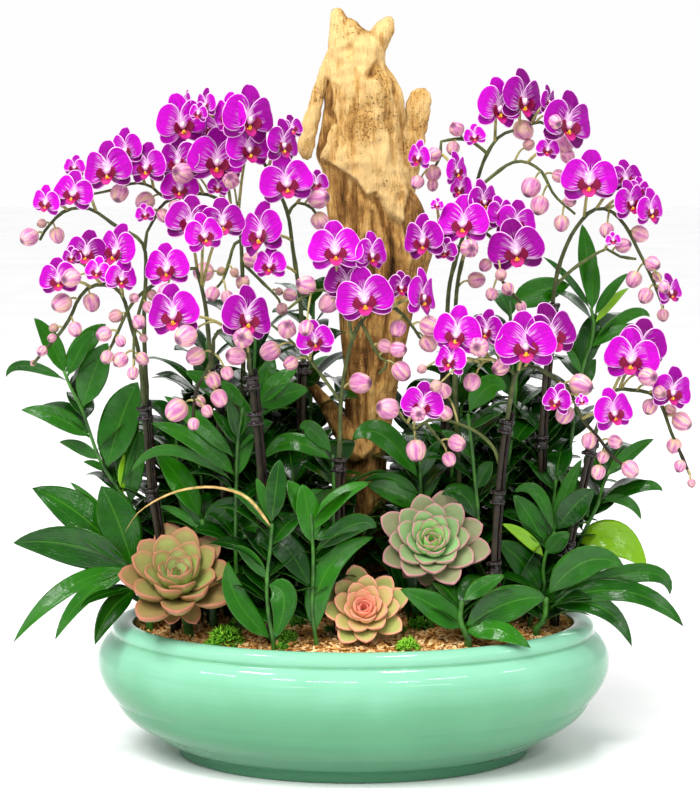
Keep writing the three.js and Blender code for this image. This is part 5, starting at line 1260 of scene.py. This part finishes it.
def build_stake(number, hand, clips):
    """A rod beside the stem, up to its highest clip, and the clips."""
    pile, stem = Pile(), PATHS[number][0]
    shift = np.array([hand * STAKE_OFFSET, STAKE_OFFSET, 0])
    spots = [nearest([stem], settle([stem], px, py, stem[2][1], 0)) for px, py in clips]
    highest = max(spot[2] for spot in spots) + 0.6 * CLIP_HEIGHT
    upright = stem[:int(np.argmax(stem[:, 2] > highest)) + 1]
    add_rod(pile, lacquer, smooth(upright + shift, 5), STAKE_RADIUS, STAKE_RADIUS)
    for spot in spots:
        add_clip(pile, stem, spot)
    pile.write(f"stake_and_clips_{number}", "stake_lacquer", f"stake_{number}")


for number, (hand, clips) in STAKES.items():
    build_stake(number, hand, clips)

# %% [markdown]
# ## Leaves
# The foliage under the flowers is thick, deep green and polished, with a paler midrib, a fine light edge and
# faint veins along it. Young leaves are yellow green. A leaf is a blade whose rib is a curve from stem to
# tip: it widens out of a short stalk, folds a little along the rib and waves along its edge.

# %% Leaf finishes
leaf_green, tree, shader = material("polished_leaf", Roughness=0.19, Specular_IOR_Level=0.36)
place = positions(tree)
across, copy, rim, under = carried(tree, "across", "tint", "rim", "under")
tone = maths(tree, "MULTIPLY_ADD", noise(tree, place, 60.0, 3.0), 0.3, copy)
base = ramped(tree, tone, (0.1, "#031a02"), (0.4, "#0d4004"), (0.7, "#246b06"), (1.0, "#78ac14"))
off_rib = maths(tree, "ABSOLUTE", maths(tree, "SUBTRACT", across, 0.5))
base = mixed(tree, ranged(tree, off_rib, 0.01, 0.035, 0.35, 0.0), base, "#4e8a22")
base = mixed(tree, ranged(tree, rim, 0.1, 0.45, 0.5, 0.0), base, "#6a943a")
base = mixed(tree, maths(tree, "MULTIPLY", under, 0.5), base, "#34641a")
# Fine veins run along the leaf, 2 mm apart, and break up its shine.
veins = maths(tree, "SINE", maths(tree, "MULTIPLY", off_rib, 80.0))
paint(tree, shader, base, maths(tree, "MULTIPLY_ADD", veins, 0.06, noise(tree, place, 230.0)), 0.34, 0.0012)

shoot = mottled("leafy_shoot", 90.0, (0.3, "#1a3d10"), (0.7, "#3f7a20"), detail=3.0, Roughness=0.4)
straw = mottled("dried_blade", 150.0, (0.3, "#8f7436"), (0.7, "#dcb878"), detail=3.0, Roughness=0.7)
print("leaf finishes are ready")

# %% [markdown]
# ## Where the leaves grow
# The table repeats the leafy solids, apart from a few leaves that were measured again: a stem, and for each
# leaf the pixels of its root and tip, its width, how far its tip reaches back, and sometimes the pixel that
# its upper edge arches over. Each leafy stem also gets leaves round its far side, set by the golden angle as
# many plants set them, so that the planting is full from every side.

# %% Leafy table
LEAFY = {
    "leaf_stem_left": dict(
        root=[-174, -10], depths=[-18, -26],
        stem=[[130, 510], [118, 489], [106, 471], [97, 453], [88, 427], [82, 410], [71, 388], [64, 371]],
        leaves=[[88, 440, 21, 410, 22, -14], [98, 462, 59, 442, 13, 10], [105, 472, 83, 462, 8, -8],
                [64, 383, 6, 377, 11, 6, 25, 362], [66, 377, 34, 318, 20, -6], [68, 372, 106, 324, 22, 16],
                [70, 377, 95, 331, 20, -6], [82, 410, 108, 343, 30, 2], [106, 471, 138, 382, 42, 2],
                [124, 493, 131, 447, 17, 8], [132, 508, 142, 429, 19, 4], [120, 490, 138, 415, 22, 12]]),
    "clump_left": dict(
        root=[-180, -36], depths=[-36, -36], radius=7, tip_radius=5,
        stem=[[140, 596], [134, 570]],
        leaves=[[125, 565, 32, 488, 42, 14], [123, 567, 13, 543, 40, -12], [142, 562, 101, 486, 42, 4],
                [125, 567, 70, 482, 14, 34], [123, 570, 13, 643, 22, -42, 70, 580],
                [123, 571, 55, 640, 20, -60, 88, 588], [133, 590, 95, 645, 22, -60, 111, 603],
                [130, 590, 79, 610, 10, -70, 100, 592]]),
    "leaf_stem_centre_left": dict(
        root=[-100, -58], depths=[-58, -60],
        stem=[[236, 560], [236, 500], [237, 470], [238, 440], [243, 408]],
        leaves=[[235, 478, 150, 423, 22, -6, 197, 435], [238, 484, 130, 474, 12, -8, 172, 446],
                [236, 478, 253, 433, 14, 6], [246, 408, 220, 382, 14, 4], [231, 446, 211, 411, 12, 6],
                [235, 440, 228, 400, 12, -6], [237, 440, 244, 411, 12, 8],
                [236, 460, 164, 396, 18, 4, 196, 415]]),
    "clump_centre_left": dict(
        root=[-124, -36], depths=[-36, -40], radius=6, tip_radius=3,
        stem=[[212, 580], [206, 540], [202, 520]],
        leaves=[[204, 535, 242, 499, 28, 0], [197, 529, 178, 499, 14, 8], [195, 535, 159, 506, 10, 4],
                [210, 545, 266, 530, 25, -6, 247, 519], [200, 520, 155, 452, 28, 8]]),
    "leaf_stem_back_left": dict(
        root=[-76, -4], depths=[-2, 0],
        stem=[[258, 560], [258, 480], [259, 405]],
        leaves=[[260, 409, 309, 390, 24, -8], [258, 405, 297, 370, 22, 0], [260, 401, 274, 357, 20, 10],
                [258, 430, 184, 371, 24, 6], [258, 440, 195, 440, 20, 10]]),
    "leaf_stem_front_left": dict(
        root=[-68, -117], depths=[-118, -118],
        stem=[[268, 610], [267, 578], [270, 550], [272, 524]],
        leaves=[[268, 642, 228, 561, 26, 0, 238, 593], [266, 580, 235, 545, 14, 4],
                [268, 585, 274, 640, 28, -16, 284, 590], [272, 524, 256, 478, 12, 6],
                [274, 522, 280, 459, 22, 8], [271, 530, 227, 487, 10, 6]]),
    "leaf_stem_front": dict(
        root=[-32, -108], depths=[-108, -106],
        stem=[[312, 610], [313, 577], [313, 547], [311, 515]],
        leaves=[[308, 592, 253, 546, 32, 2, 281, 533], [311, 540, 344, 533, 14, 4],
                [313, 553, 377, 528, 22, 2, 352, 518], [312, 640, 374, 537, 28, 6, 326, 563],
                [311, 547, 302, 484, 27, 2], [308, 530, 287, 480, 22, 12],
                [312, 533, 371, 483, 20, 6, 338, 492]]),
    "leaf_stem_centre": dict(
        root=[-16, -34], depths=[-40, -44],
        stem=[[334, 560], [334, 500], [333, 455]],
        leaves=[[332, 462, 264, 459, 22, -4, 293, 435], [334, 450, 300, 430, 18, 6, 312, 424],
                [334, 500, 296, 500, 16, 0]]),
    "leaf_stem_centre_right": dict(
        root=[66, -8], depths=[-14, -24],
        stem=[[424, 560], [421, 495], [420, 462]],
        leaves=[[418, 482, 352, 441, 28, -6, 382, 426], [419, 497, 362, 482, 12, 8, 392, 474],
                [420, 510, 366, 485, 25, -4], [422, 505, 442, 473, 10, 2], [421, 480, 440, 440, 14, -6]]),
    "leaf_stem_middle_right": dict(
        root=[112, -36], depths=[-38, -42],
        stem=[[476, 570], [478, 520], [474, 470], [468, 414]],
        leaves=[[479, 522, 442, 495, 24, -8, 462, 487], [475, 490, 493, 462, 18, -6],
                [468, 414, 506, 390, 25, 0, 488, 379], [472, 430, 502, 413, 8, 4],
                [474, 460, 440, 430, 14, 4]]),
    "clump_front_right": dict(
        root=[98, -104], depths=[-104, -104], radius=6, tip_radius=4,
        stem=[[460, 620], [462, 602]],
        leaves=[[463, 628, 546, 598, 37, 2, 507, 591], [460, 636, 531, 648, 27, -14, 494, 621],
                [458, 632, 400, 589, 30, -8, 436, 598], [462, 600, 505, 575, 18, 12, 484, 580]]),
    "leaf_stem_right": dict(
        root=[156, -34], depths=[-36, -42],
        stem=[[544, 590], [543, 570], [547, 550], [555, 532]],
        leaves=[[540, 592, 497, 542, 30, -14], [540, 557, 502, 524, 13, -8], [543, 550, 513, 495, 24, 4],
                [553, 534, 513, 493, 14, 10, 537, 488], [546, 555, 570, 533, 20, -8],
                [556, 532, 595, 490, 28, -26], [550, 540, 582, 459, 16, 6]]),
    "clump_right": dict(
        root=[160, -62], depths=[-62, -62], radius=6, tip_radius=4,
        stem=[[545, 618], [546, 598]],
        leaves=[[543, 597, 624, 566, 33, -8, 584, 551], [546, 604, 684, 627, 27, -12, 626, 583],
                [548, 600, 670, 595, 20, 14, 640, 566], [548, 608, 632, 647, 22, -28, 600, 600]]),
    "leaf_stem_far_right": dict(
        root=[184, 6], depths=[8, 6],
        stem=[[572, 560], [584, 532], [598, 504], [603, 485], [610, 470]],
        leaves=[[606, 478, 654, 439, 14, 6], [598, 506, 663, 491, 15, 0, 639, 482],
                [603, 500, 641, 520, 11, -8, 627, 498], [581, 546, 647, 569, 38, -6, 614, 527],
                [590, 520, 556, 470, 22, 6]]),
    "leaf_stem_back_right": dict(
        root=[150, 58], depths=[58, 50],
        stem=[[532, 560], [528, 500], [518, 420], [512, 360], [510, 304]],
        leaves=[[511, 305, 570, 285, 28, 12, 540, 282], [528, 491, 578, 425, 34, 8],
                [526, 480, 490, 440, 20, 6], [520, 440, 557, 400, 20, 8], [515, 400, 478, 360, 18, 0],
                [512, 350, 540, 320, 16, 6], [530, 500, 557, 465, 20, -8]]),
    "leaf_stem_upper_right": dict(
        root=[170, 46], depths=[48, 42],
        stem=[[560, 540], [566, 480], [574, 420], [582, 371], [591, 344], [594, 325], [591, 308]],
        leaves=[[592, 310, 582, 224, 20, 10], [595, 312, 594, 258, 16, -4], [590, 312, 543, 257, 8, 4],
                [594, 318, 629, 273, 11, -6], [594, 325, 629, 288, 9, 6],
                [592, 344, 650, 317, 12, 0, 629, 311], [590, 348, 643, 326, 14, -12],
                [582, 371, 596, 313, 24, 14], [581, 375, 564, 345, 8, -6], [580, 395, 596, 359, 16, 10]]),
}
# Leaves of a bushy stem's solid, and how far round from the first of them the leaves between them start.
BUSH_LEAVES, BETWEEN_START = 7, 2.4
BUSHES = {
    "leaf_stem_rear_left": dict(root=[-118, 78], height=190, lean=[-30, 26], length=78, width=24, start=1.9),
    "leaf_stem_rear": dict(root=[-44, 104], height=210, lean=[-10, 34], length=76, width=25, start=1.3),
    "leaf_stem_rear_right": dict(root=[92, 88], height=200, lean=[22, 34], length=78, width=24, start=1.2),
}
# Leaves that are young and yellow green, as a stem's name and the leaf's place in its list.
YOUNG = {("leaf_stem_far_right", 3), ("leaf_stem_right", 1), ("leaf_stem_left", 9),
         ("leaf_stem_upper_right", 4)}
print("leafy stems:", len(LEAFY) + len(BUSHES), "and measured leaves:",
      sum(len(plant["leaves"]) for plant in LEAFY.values()))

# %% Build the leaves
LEAF_FACE = unit(np.array([0, -1, 0.4]))
LEAF_ROLLS = np.array([0.25, -0.3, 0.1, -0.15, 0.35])
LEAF_RINGS = 13
# A leaf's stalk: its width by the blade's, and the share of the length over which it widens.
STALK_SHARE, STALK_END = 0.12, 0.16
# Fold by the half width, wave of an edge in radians, and half thickness: at the ends, and how much more half
# way.
LEAF_FOLD, LEAF_WAVES, LEAF_THIN, LEAF_THICKER = 0.2, 9, 0.28, 0.35
# Least and most height of those waves, by the half width.
LEAF_RIPPLE = (0.04, 0.12)
# By its length, how far a leaf outside the table reaches out and up, how much more it rises at the top of its
# stem, and how far it arches.
LEAF_OUT, LEAF_RISE, LEAF_STEEPER, LEAF_ARCH = 0.9, 0.1, 0.45, 0.16
# The leafy table gives the pixel that a leaf's upper edge arches over. Its rib is this share of its width
# lower.
ARCH_DROP = 0.33
# Number, length and width of the leaves on the far side of each kind of stem.
FAR_LEAVES = {"clump": (7, 58, 24), "stem": (13, 64, 25), "bush": (24, 70, 25), "filler": (24, 72, 26)}
# Radii at the foot and the tip: those of a usual stem, the most that a stem gets here, and a bushy stem's.
USUAL_STEM, THICKEST_STEM, BUSHY_STEM = (1.9, 1.5), (3.4, 2.4), (2.4, 1.6)
# The dried blade: its pixels from root to tip, the depths at both, and its half width at four shares of it.
STRAW = np.array([[272, 528], [250, 500], [229, 490], [204, 487], [172, 493], [140, 511], [123, 535]], float)
STRAW_DEPTHS, STRAW_SHARES, STRAW_HALF = (-124, -110), [0, 0.1, 0.7, 1], [0.9, 1.4, 0.9, 0.0]


def add_leaves(pile, bases, middles, tips, widths, sides, tint, rng):
    """Leaf blades along curves from base to tip. Half the width follows sin(pi u^0.85)^0.8, narrowed into a
    stalk over the first sixth; the blade folds up from the rib and its edge waves."""
    u = np.linspace(0, 1, LEAF_RINGS + 2)
    spine = bezier(bases, middles, tips, u)
    if sides is None:
        tangents = unit(np.gradient(spine, axis=1))
        sides = unit(np.cross(tangents, LEAF_FACE))
        rolls = LEAF_ROLLS[np.arange(len(bases)) % len(LEAF_ROLLS)][:, None]
        sides = turned(sides, tangents, np.broadcast_to(rolls, sides.shape[:2]))
    widening = np.clip(u / STALK_END, 0, 1) ** 1.5
    shape = np.sin(np.pi * np.clip(u, 0, 1) ** 0.85) ** 0.8 * (STALK_SHARE + (1 - STALK_SHARE) * widening)
    shape[[0, -1]] = 0
    half = 0.5 * widths[:, None] * shape
    phase, amount = rng.uniform(0, 6.3, (len(bases), 1, 1)), rng.uniform(*LEAF_RIPPLE, (len(bases), 1, 1))

    def rise(cos):
        fold = LEAF_FOLD * abs(cos)
        wave = amount * np.sin(LEAF_WAVES * u[None, :, None] + phase + 1.5 * np.sign(cos)) * cos ** 2
        return half[..., None] * (fold + wave)

    thick = LEAF_THIN + LEAF_THICKER * np.sin(np.pi * u)
    blades(pile, leaf_green, spine, sides, half, thick, thick, rise, tint=tint, columns=12, shares=u)


def level(angle, slant):
    """The ways out from a stem at some angles, and the sides of leaves there, raised by a slant."""
    sides = unit(np.stack([np.sin(angle), -np.cos(angle), slant], 1))
    out = np.stack([np.cos(angle), np.sin(angle), 0 * angle], 1)
    return out, np.broadcast_to(sides[:, None], (len(angle), LEAF_RINGS + 2, 3))


def arching(bases, out, size, share):
    """Middles and tips of leaves that reach out and up, more steeply near the top of a stem, and arch."""
    tips = bases + size * (LEAF_OUT * out + (LEAF_RISE + LEAF_STEEPER * share)[:, None] * UP)
    return (bases + tips) / 2 + size * LEAF_ARCH * UP, tips


def far_leaves(pile, main, kind, start, rng, sweep=None):
    """Leaves round a stem by the golden angle, from low to high. With a sweep, they keep to that span of
    directions."""
    count, length, width = FAR_LEAVES[kind]
    share = (np.arange(count) + 1) / count
    angle = start + np.arange(count) * GOLDEN_ANGLE
    if sweep:
        angle = np.radians(sweep[0] + np.degrees(angle) % (sweep[1] - sweep[0]))
    bases = main[1 + ((0.1 + 0.85 * share) * (len(main) - 2)).astype(int)]
    size = (length * (1 - 0.25 * share) * rng.uniform(0.85, 1.1, count))[:, None]
    out, sides = level(angle, 0.25 * np.sin(5 * angle))
    # Leaves on the far side are painted darker than the measured ones, as shade inside the planting.
    widths, tint = width * rng.uniform(0.85, 1.15, count), rng.uniform(0.0, 0.3, count)
    add_leaves(pile, bases, *arching(bases, out, size, share), widths, sides, tint, rng)


def straw_blade(pile):
    """A dried blade of grass that arches out of the planting on the left."""
    path = smooth(at(STRAW[:, 0], STRAW[:, 1], np.linspace(*STRAW_DEPTHS, len(STRAW))), 8)[None]
    side = unit(np.cross(np.gradient(path, axis=1), LEAF_FACE))
    half = np.interp(np.linspace(0, 1, path.shape[1]), STRAW_SHARES, STRAW_HALF)
    blades(pile, straw, path, side, half, 0.35, 0.35, columns=6)


def build_leafy(name, plant, order):
    """A leafy stem or clump with the leaves of the table and those on its far side."""
    rng = np.random.default_rng(300 + order)
    pile = Pile()
    radii = plant.get("radius", USUAL_STEM[0]), plant.get("tip_radius", USUAL_STEM[1])
    main = planted(plant["root"], plant["stem"], plant["depths"], 7)
    add_rod(pile, shoot, main, *np.minimum(radii, THICKEST_STEM), joints=0.15)
    rows = []
    for i, (bx, by, tx, ty, width, reach, *arch) in enumerate(plant["leaves"]):
        guess = nearest([main], at(bx, by, plant["depths"][0]))
        base = nearest([main], at(bx, by, guess[1]))
        tip = at(tx, ty, base[1] + reach)
        middle = (base + tip) / 2 + 0.09 * UP * np.linalg.norm(tip - base)
        if arch:
            middle = at(arch[0], arch[1] + ARCH_DROP * width, base[1] + 0.45 * reach)
        tint = 0.95 if (name, i) in YOUNG else rng.uniform(0.22, 0.5)
        rows.append([base, middle, tip, [size_at(width, base[1]), tint, 0]])
    rows = np.array(rows)
    add_leaves(pile, rows[:, 0], rows[:, 1], rows[:, 2], rows[:, 3, 0], None, rows[:, 3, 1], rng)
    if "clump" in name:
        far_leaves(pile, main, "clump", order, rng, sweep=(-20, 200))
    else:
        far_leaves(pile, main, "stem", order, rng, sweep=(0, 180))
    if name == "leaf_stem_front_left":
        straw_blade(pile)
    pile.write(name.replace("leaf_stem", "foliage"), "foliage", name)


def leaning(root, height, lean):
    """A stem that rises from the mix and leans over: its foot and its top, and its path up from the root."""
    base = np.array([*root, SOIL_TOP + ROOT_RISE])
    top = base + [*lean, height]
    middle = (base + top) / 2 - [0.15 * lean[0], 0.15 * lean[1], 0]
    return base, top, np.vstack([[*root, ROOT_END], smooth(np.array([base, middle, top]), 6)])


def build_bush(name, bush, order):
    """A bushy stem at the back: the leaves of its solid, and shorter ones between them."""
    rng = np.random.default_rng(400 + order)
    base, top, main = leaning(bush["root"], bush["height"], bush["lean"])
    pile = Pile()
    add_rod(pile, shoot, main, *BUSHY_STEM, joints=0.15)
    i = np.arange(BUSH_LEAVES)
    share = (i + 1) / BUSH_LEAVES
    out, sides = level(bush["start"] + i * GOLDEN_ANGLE, 0.0 * i)
    bases = np.array([nearest([main], base + (top - base) * (0.15 + 0.85 * s)) for s in share])
    size = (bush["length"] * (1 - 0.25 * share))[:, None]
    widths, tint = np.full(BUSH_LEAVES, float(bush["width"])), rng.uniform(0.2, 0.5, BUSH_LEAVES)
    add_leaves(pile, bases, *arching(bases, out, size, share), widths, sides, tint, rng)
    far_leaves(pile, main, "bush", bush["start"] + BETWEEN_START, rng)
    pile.write(name.replace("leaf_stem", "foliage"), "foliage", name)


for order, (name, plant) in enumerate(LEAFY.items()):
    build_leafy(name, plant, order)
for order, (name, bush) in enumerate(BUSHES.items()):
    build_bush(name, bush, order)

# %% [markdown]
# ## Undergrowth and fillers
# Hardly any light comes through the planting in the photograph. Two pieces that stand for no solid close it:
# tufts of steep leaves low on the mix, and 24 bushy stems between the others. The tufts fill the oval by the
# golden angle, which spreads any number of spots evenly, but leave the trunk and the front of the bowl free.

# %% Undergrowth
# Number of tufts, leaves of each, half width of the oval that they fill, and leaf lengths and widths.
TUFTS, TUFT_LEAVES, TUFTS_EDGE, TUFT_LENGTHS, TUFT_WIDTHS = 44, 7, 178, (70, 130), (22, 32)
# Tufts stand behind this depth, this far from the trunk, and not in the passage in front of it.
TUFTS_FRONT, TRUNK_CLEARANCE, PASSAGE_MIDDLE, PASSAGE_HALF, PASSAGE_BACK = -42, 30, 14, 30, 70
# Their leaves' way out and up, and by their length, how far the middle is lifted and drawn in.
TUFT_OUT, TUFT_STEEP, TUFT_ARCH, TUFT_BOW = 0.75, (0.9, 1.6), 0.12, 0.08
# Root, height and lean of bushy stems that fill the middle and the back.
FILLERS = [
    [-150, 34, 150, -24, 16], [-128, 6, 165, -14, 6], [-100, 58, 185, -20, 22], [-72, 40, 170, -8, 12],
    [-70, 96, 190, -16, 26], [-4, 108, 185, 4, 26], [44, 104, 180, 10, 28], [60, 44, 150, 8, 16],
    [84, 20, 140, 6, 4], [120, 62, 180, 20, 22], [128, 18, 160, 16, 8], [150, 28, 150, 26, 16],
    [62, 4, 110, 6, -4], [-44, 44, 165, -4, 20], [-50, -10, 130, -4, -2], [-130, 46, 240, -4, 10],
    [-94, 30, 262, 6, 8], [-42, 62, 290, 6, 8], [96, 50, 215, 4, 8], [140, 44, 220, 10, 8],
    [160, 26, 180, 14, 8], [172, 4, 120, 10, 2], [-152, 6, 175, -8, 2], [-164, -8, 105, -8, 0]]
# Radii of their stems, and the depth in front of which they leave their front side bare.
FILLER_STEM, FILLER_FRONT = (2.2, 1.4), 45


def build_undergrowth():
    """Tufts of leaves on the mix between the stems. Each tuft's leaves rise steeply and arch outwards."""
    rng = np.random.default_rng(500)
    i = np.arange(TUFTS)
    far = TUFTS_EDGE * np.sqrt((i + 0.5) / TUFTS)
    x, y = far * np.cos(i * GOLDEN_ANGLE), OVAL * far * np.sin(i * GOLDEN_ANGLE)
    off_trunk = np.hypot(x - TRUNK_ROOT[0], y - TRUNK_ROOT[1]) > TRUNK_CLEARANCE
    clear = (y > TUFTS_FRONT) & off_trunk & ~((abs(x - PASSAGE_MIDDLE) < PASSAGE_HALF) & (y < PASSAGE_BACK))
    x, y = np.repeat(x[clear], TUFT_LEAVES), np.repeat(y[clear], TUFT_LEAVES)
    count = len(x)
    angle = np.where(y < 15, rng.uniform(-0.2, np.pi + 0.2, count), rng.uniform(0, 2 * np.pi, count))
    out, sides = level(angle, 0.3 * np.sin(3 * angle))
    bases = np.stack([x, y, dome(x, y) - 2], 1) + 4 * out
    size = rng.uniform(*TUFT_LENGTHS, count)[:, None]
    steep = rng.uniform(*TUFT_STEEP, count)[:, None]
    tips = bases + size * unit(TUFT_OUT * out + steep * UP)
    middles = (bases + tips) / 2 + size * TUFT_ARCH * UP - TUFT_BOW * size * out
    widths = rng.uniform(*TUFT_WIDTHS, count)
    pile = Pile()
    # The undergrowth is painted darker than the measured leaves, as shade low in the planting.
    add_leaves(pile, bases, middles, tips, widths, sides, rng.uniform(0.0, 0.25, count), rng)
    pile.write("foliage_undergrowth", "foliage")


def build_fillers():
    """Bushy stems between the others, leafy from the mix to the top."""
    rng = np.random.default_rng(600)
    pile = Pile()
    for order, (x, y, height, *lean) in enumerate(FILLERS):
        base, top, main = leaning((x, y), height, lean)
        add_rod(pile, shoot, main, *FILLER_STEM, joints=0.15)
        far_leaves(pile, main, "filler", order * 1.1, rng, sweep=(-10, 190) if y < FILLER_FRONT else None)
    pile.write("foliage_fillers", "foliage")


build_undergrowth()
build_fillers()

# %% [markdown]
# ## Echeverias
# Three succulent rosettes sit at the front. Their leaves are thick spoons with a pointed tip, bloomy and
# nearly matt, pale green or salmon in the heart and flushed pink or brown at the rim. A rosette sets its
# leaves by the golden angle too: the youngest stand upright in the middle, and the oldest lie out flat.

# %% Succulent finishes
def succulent(name, heart, body, outer, edge, band):
    """Waxy leaf skin: from heart to outer leaves by the tint, with a coloured band of some millimetres at
    the rim."""
    made, tree, shader = material(name, Roughness=0.5, Specular_IOR_Level=0.4)
    along, copy, rim = carried(tree, "along", "tint", "rim")
    wax = noise(tree, positions(tree), 160.0, 3.0)
    tone = maths(tree, "MULTIPLY_ADD", wax, 0.25, copy)
    base = ramped(tree, tone, (0.2, heart), (0.55, body), (1.05, outer))
    blush = maths(tree, "MULTIPLY", ranged(tree, rim, 0.3, band, 0.95, 0.0), ranged(tree, along, 0.3, 0.95))
    paint(tree, shader, mixed(tree, blush, base, edge), wax, 0.25, 0.0008)
    return made


# %% Build the rosettes
# Pixel place and depth of the heart, radius, tilt to the viewer, root, number of leaves and colours.
ROSETTES = {
    "echeveria_left": [
        (179, 582, -74), 60, 0.68, (-144, -62), 34,
        succulent("brown_echeveria", "#bcd88c", "#98a85a", "#8f7c4a", "#ac6854", 6.0)],
    "echeveria_front": [
        (364, 612, -92), 43, 0.95, (12, -86), 36,
        succulent("salmon_echeveria", "#f09c8a", "#d2b27a", "#a0a85c", "#e4937e", 4.0)],
    "echeveria_centre": [
        (431, 545, -56), 53, 0.95, (68, -44), 40,
        succulent("grey_green_echeveria", "#a8de7c", "#90be7c", "#8a8c66", "#bc7c84", 3.0)],
}
OLD_LEAVES, SPOON_RINGS, SPOON_COLUMNS = 9, 13, 14
ROSETTE_STEM = (4.0, 5.0)
# Lift of the youngest leaf, how far it falls outwards and its unevenness in degrees, and the droop of old
# leaves in radians.
LIFT_HEART, LIFT_FALL, LIFT_SPREAD, OLD_DROOP = 84, 72, 3, 0.45
# By the radius: length of the youngest leaf, and the gain outwards. By that: length of the old leaves.
SPOON_LENGTH, SPOON_GAIN, OLD_LENGTH = 0.22, 0.80, 0.6
# By a leaf's length: its half width, the gain when young, and the thickness above and below.
SPOON_HALF, YOUNG_GAIN, SPOON_TOP, SPOON_KEEL = 0.25, 0.12, 0.03, 0.16
# How far a leaf curls up at its tip, by its length, and its edges at the side, by its half width.
SPOON_CURL, SPOON_CUP = 0.16, 0.34


def build_rosette(name, heart, radius, tilt, root, count, skin):
    """Leaves by the golden angle about a tilted axis. From the heart outwards their lift falls from 84 to 12
    degrees while they grow to the full radius, and each is a thick blade, hollow above and keeled below. Some
    short old leaves hang below them round the stem."""
    rng = np.random.default_rng(len(name))
    centre = at(*heart)
    axis = np.array([0, -np.sin(tilt), np.cos(tilt)])
    upward = np.cross(axis, RIGHT)
    i = np.arange(count + OLD_LEAVES)
    share = np.minimum((i + 0.5) / count, 1)
    angle = i * GOLDEN_ANGLE + 0.4
    lift = np.radians(LIFT_HEART - LIFT_FALL * share ** 0.7 + rng.normal(0, LIFT_SPREAD, len(i)))
    length = radius * (SPOON_LENGTH + SPOON_GAIN * share ** 0.85) * rng.uniform(0.95, 1.03, len(i))
    lift[count:] -= OLD_DROOP
    length[count:] *= OLD_LENGTH
    cos, sin = np.cos(angle)[:, None], np.sin(angle)[:, None]
    out = RIGHT * cos + upward * sin
    side = upward * cos - RIGHT * sin
    way = out * np.cos(lift)[:, None] + axis * np.sin(lift)[:, None]
    face = np.cross(way, side)
    u = 1 - (1 - np.linspace(0, 1, SPOON_RINGS)) ** 1.5
    base = centre + out * 0.05 * radius - axis * 0.16 * radius * share[:, None]
    spine = base[:, None] + length[:, None, None] * (
        way[:, None] * u[None, :, None] + face[:, None] * (SPOON_CURL * u ** 2)[None, :, None])
    shape = np.clip(np.sin(np.pi * np.clip(u, 0, 1) ** 1.6), 0, 1) ** 0.55
    shape = np.maximum(shape, 0.30 * np.clip(u / 0.2, 0, 1)) * np.where(u >= 1, 0, 1)
    shape[-2] *= 0.7
    half = length[:, None] * (SPOON_HALF + YOUNG_GAIN * (1 - share))[:, None] * shape
    top = SPOON_TOP * length[:, None]
    bottom = SPOON_KEEL * length[:, None] * np.sin(np.pi * u ** 0.8) ** 0.7
    pile = Pile()
    blades(pile, skin, spine, -side[:, None], half, top, bottom,
           lambda c: half[..., None] * SPOON_CUP * c ** 2, tint=share, columns=SPOON_COLUMNS, shares=u)
    stem = np.array([[*root, ROOT_END], [*root, SOIL_TOP + 3], centre - axis * 0.1 * radius])
    add_rod(pile, shoot, smooth(stem, 8), *ROSETTE_STEM, sides=10)
    pile.write(name + "_rosette", name, name)


for name, row in ROSETTES.items():
    build_rosette(name, *row)
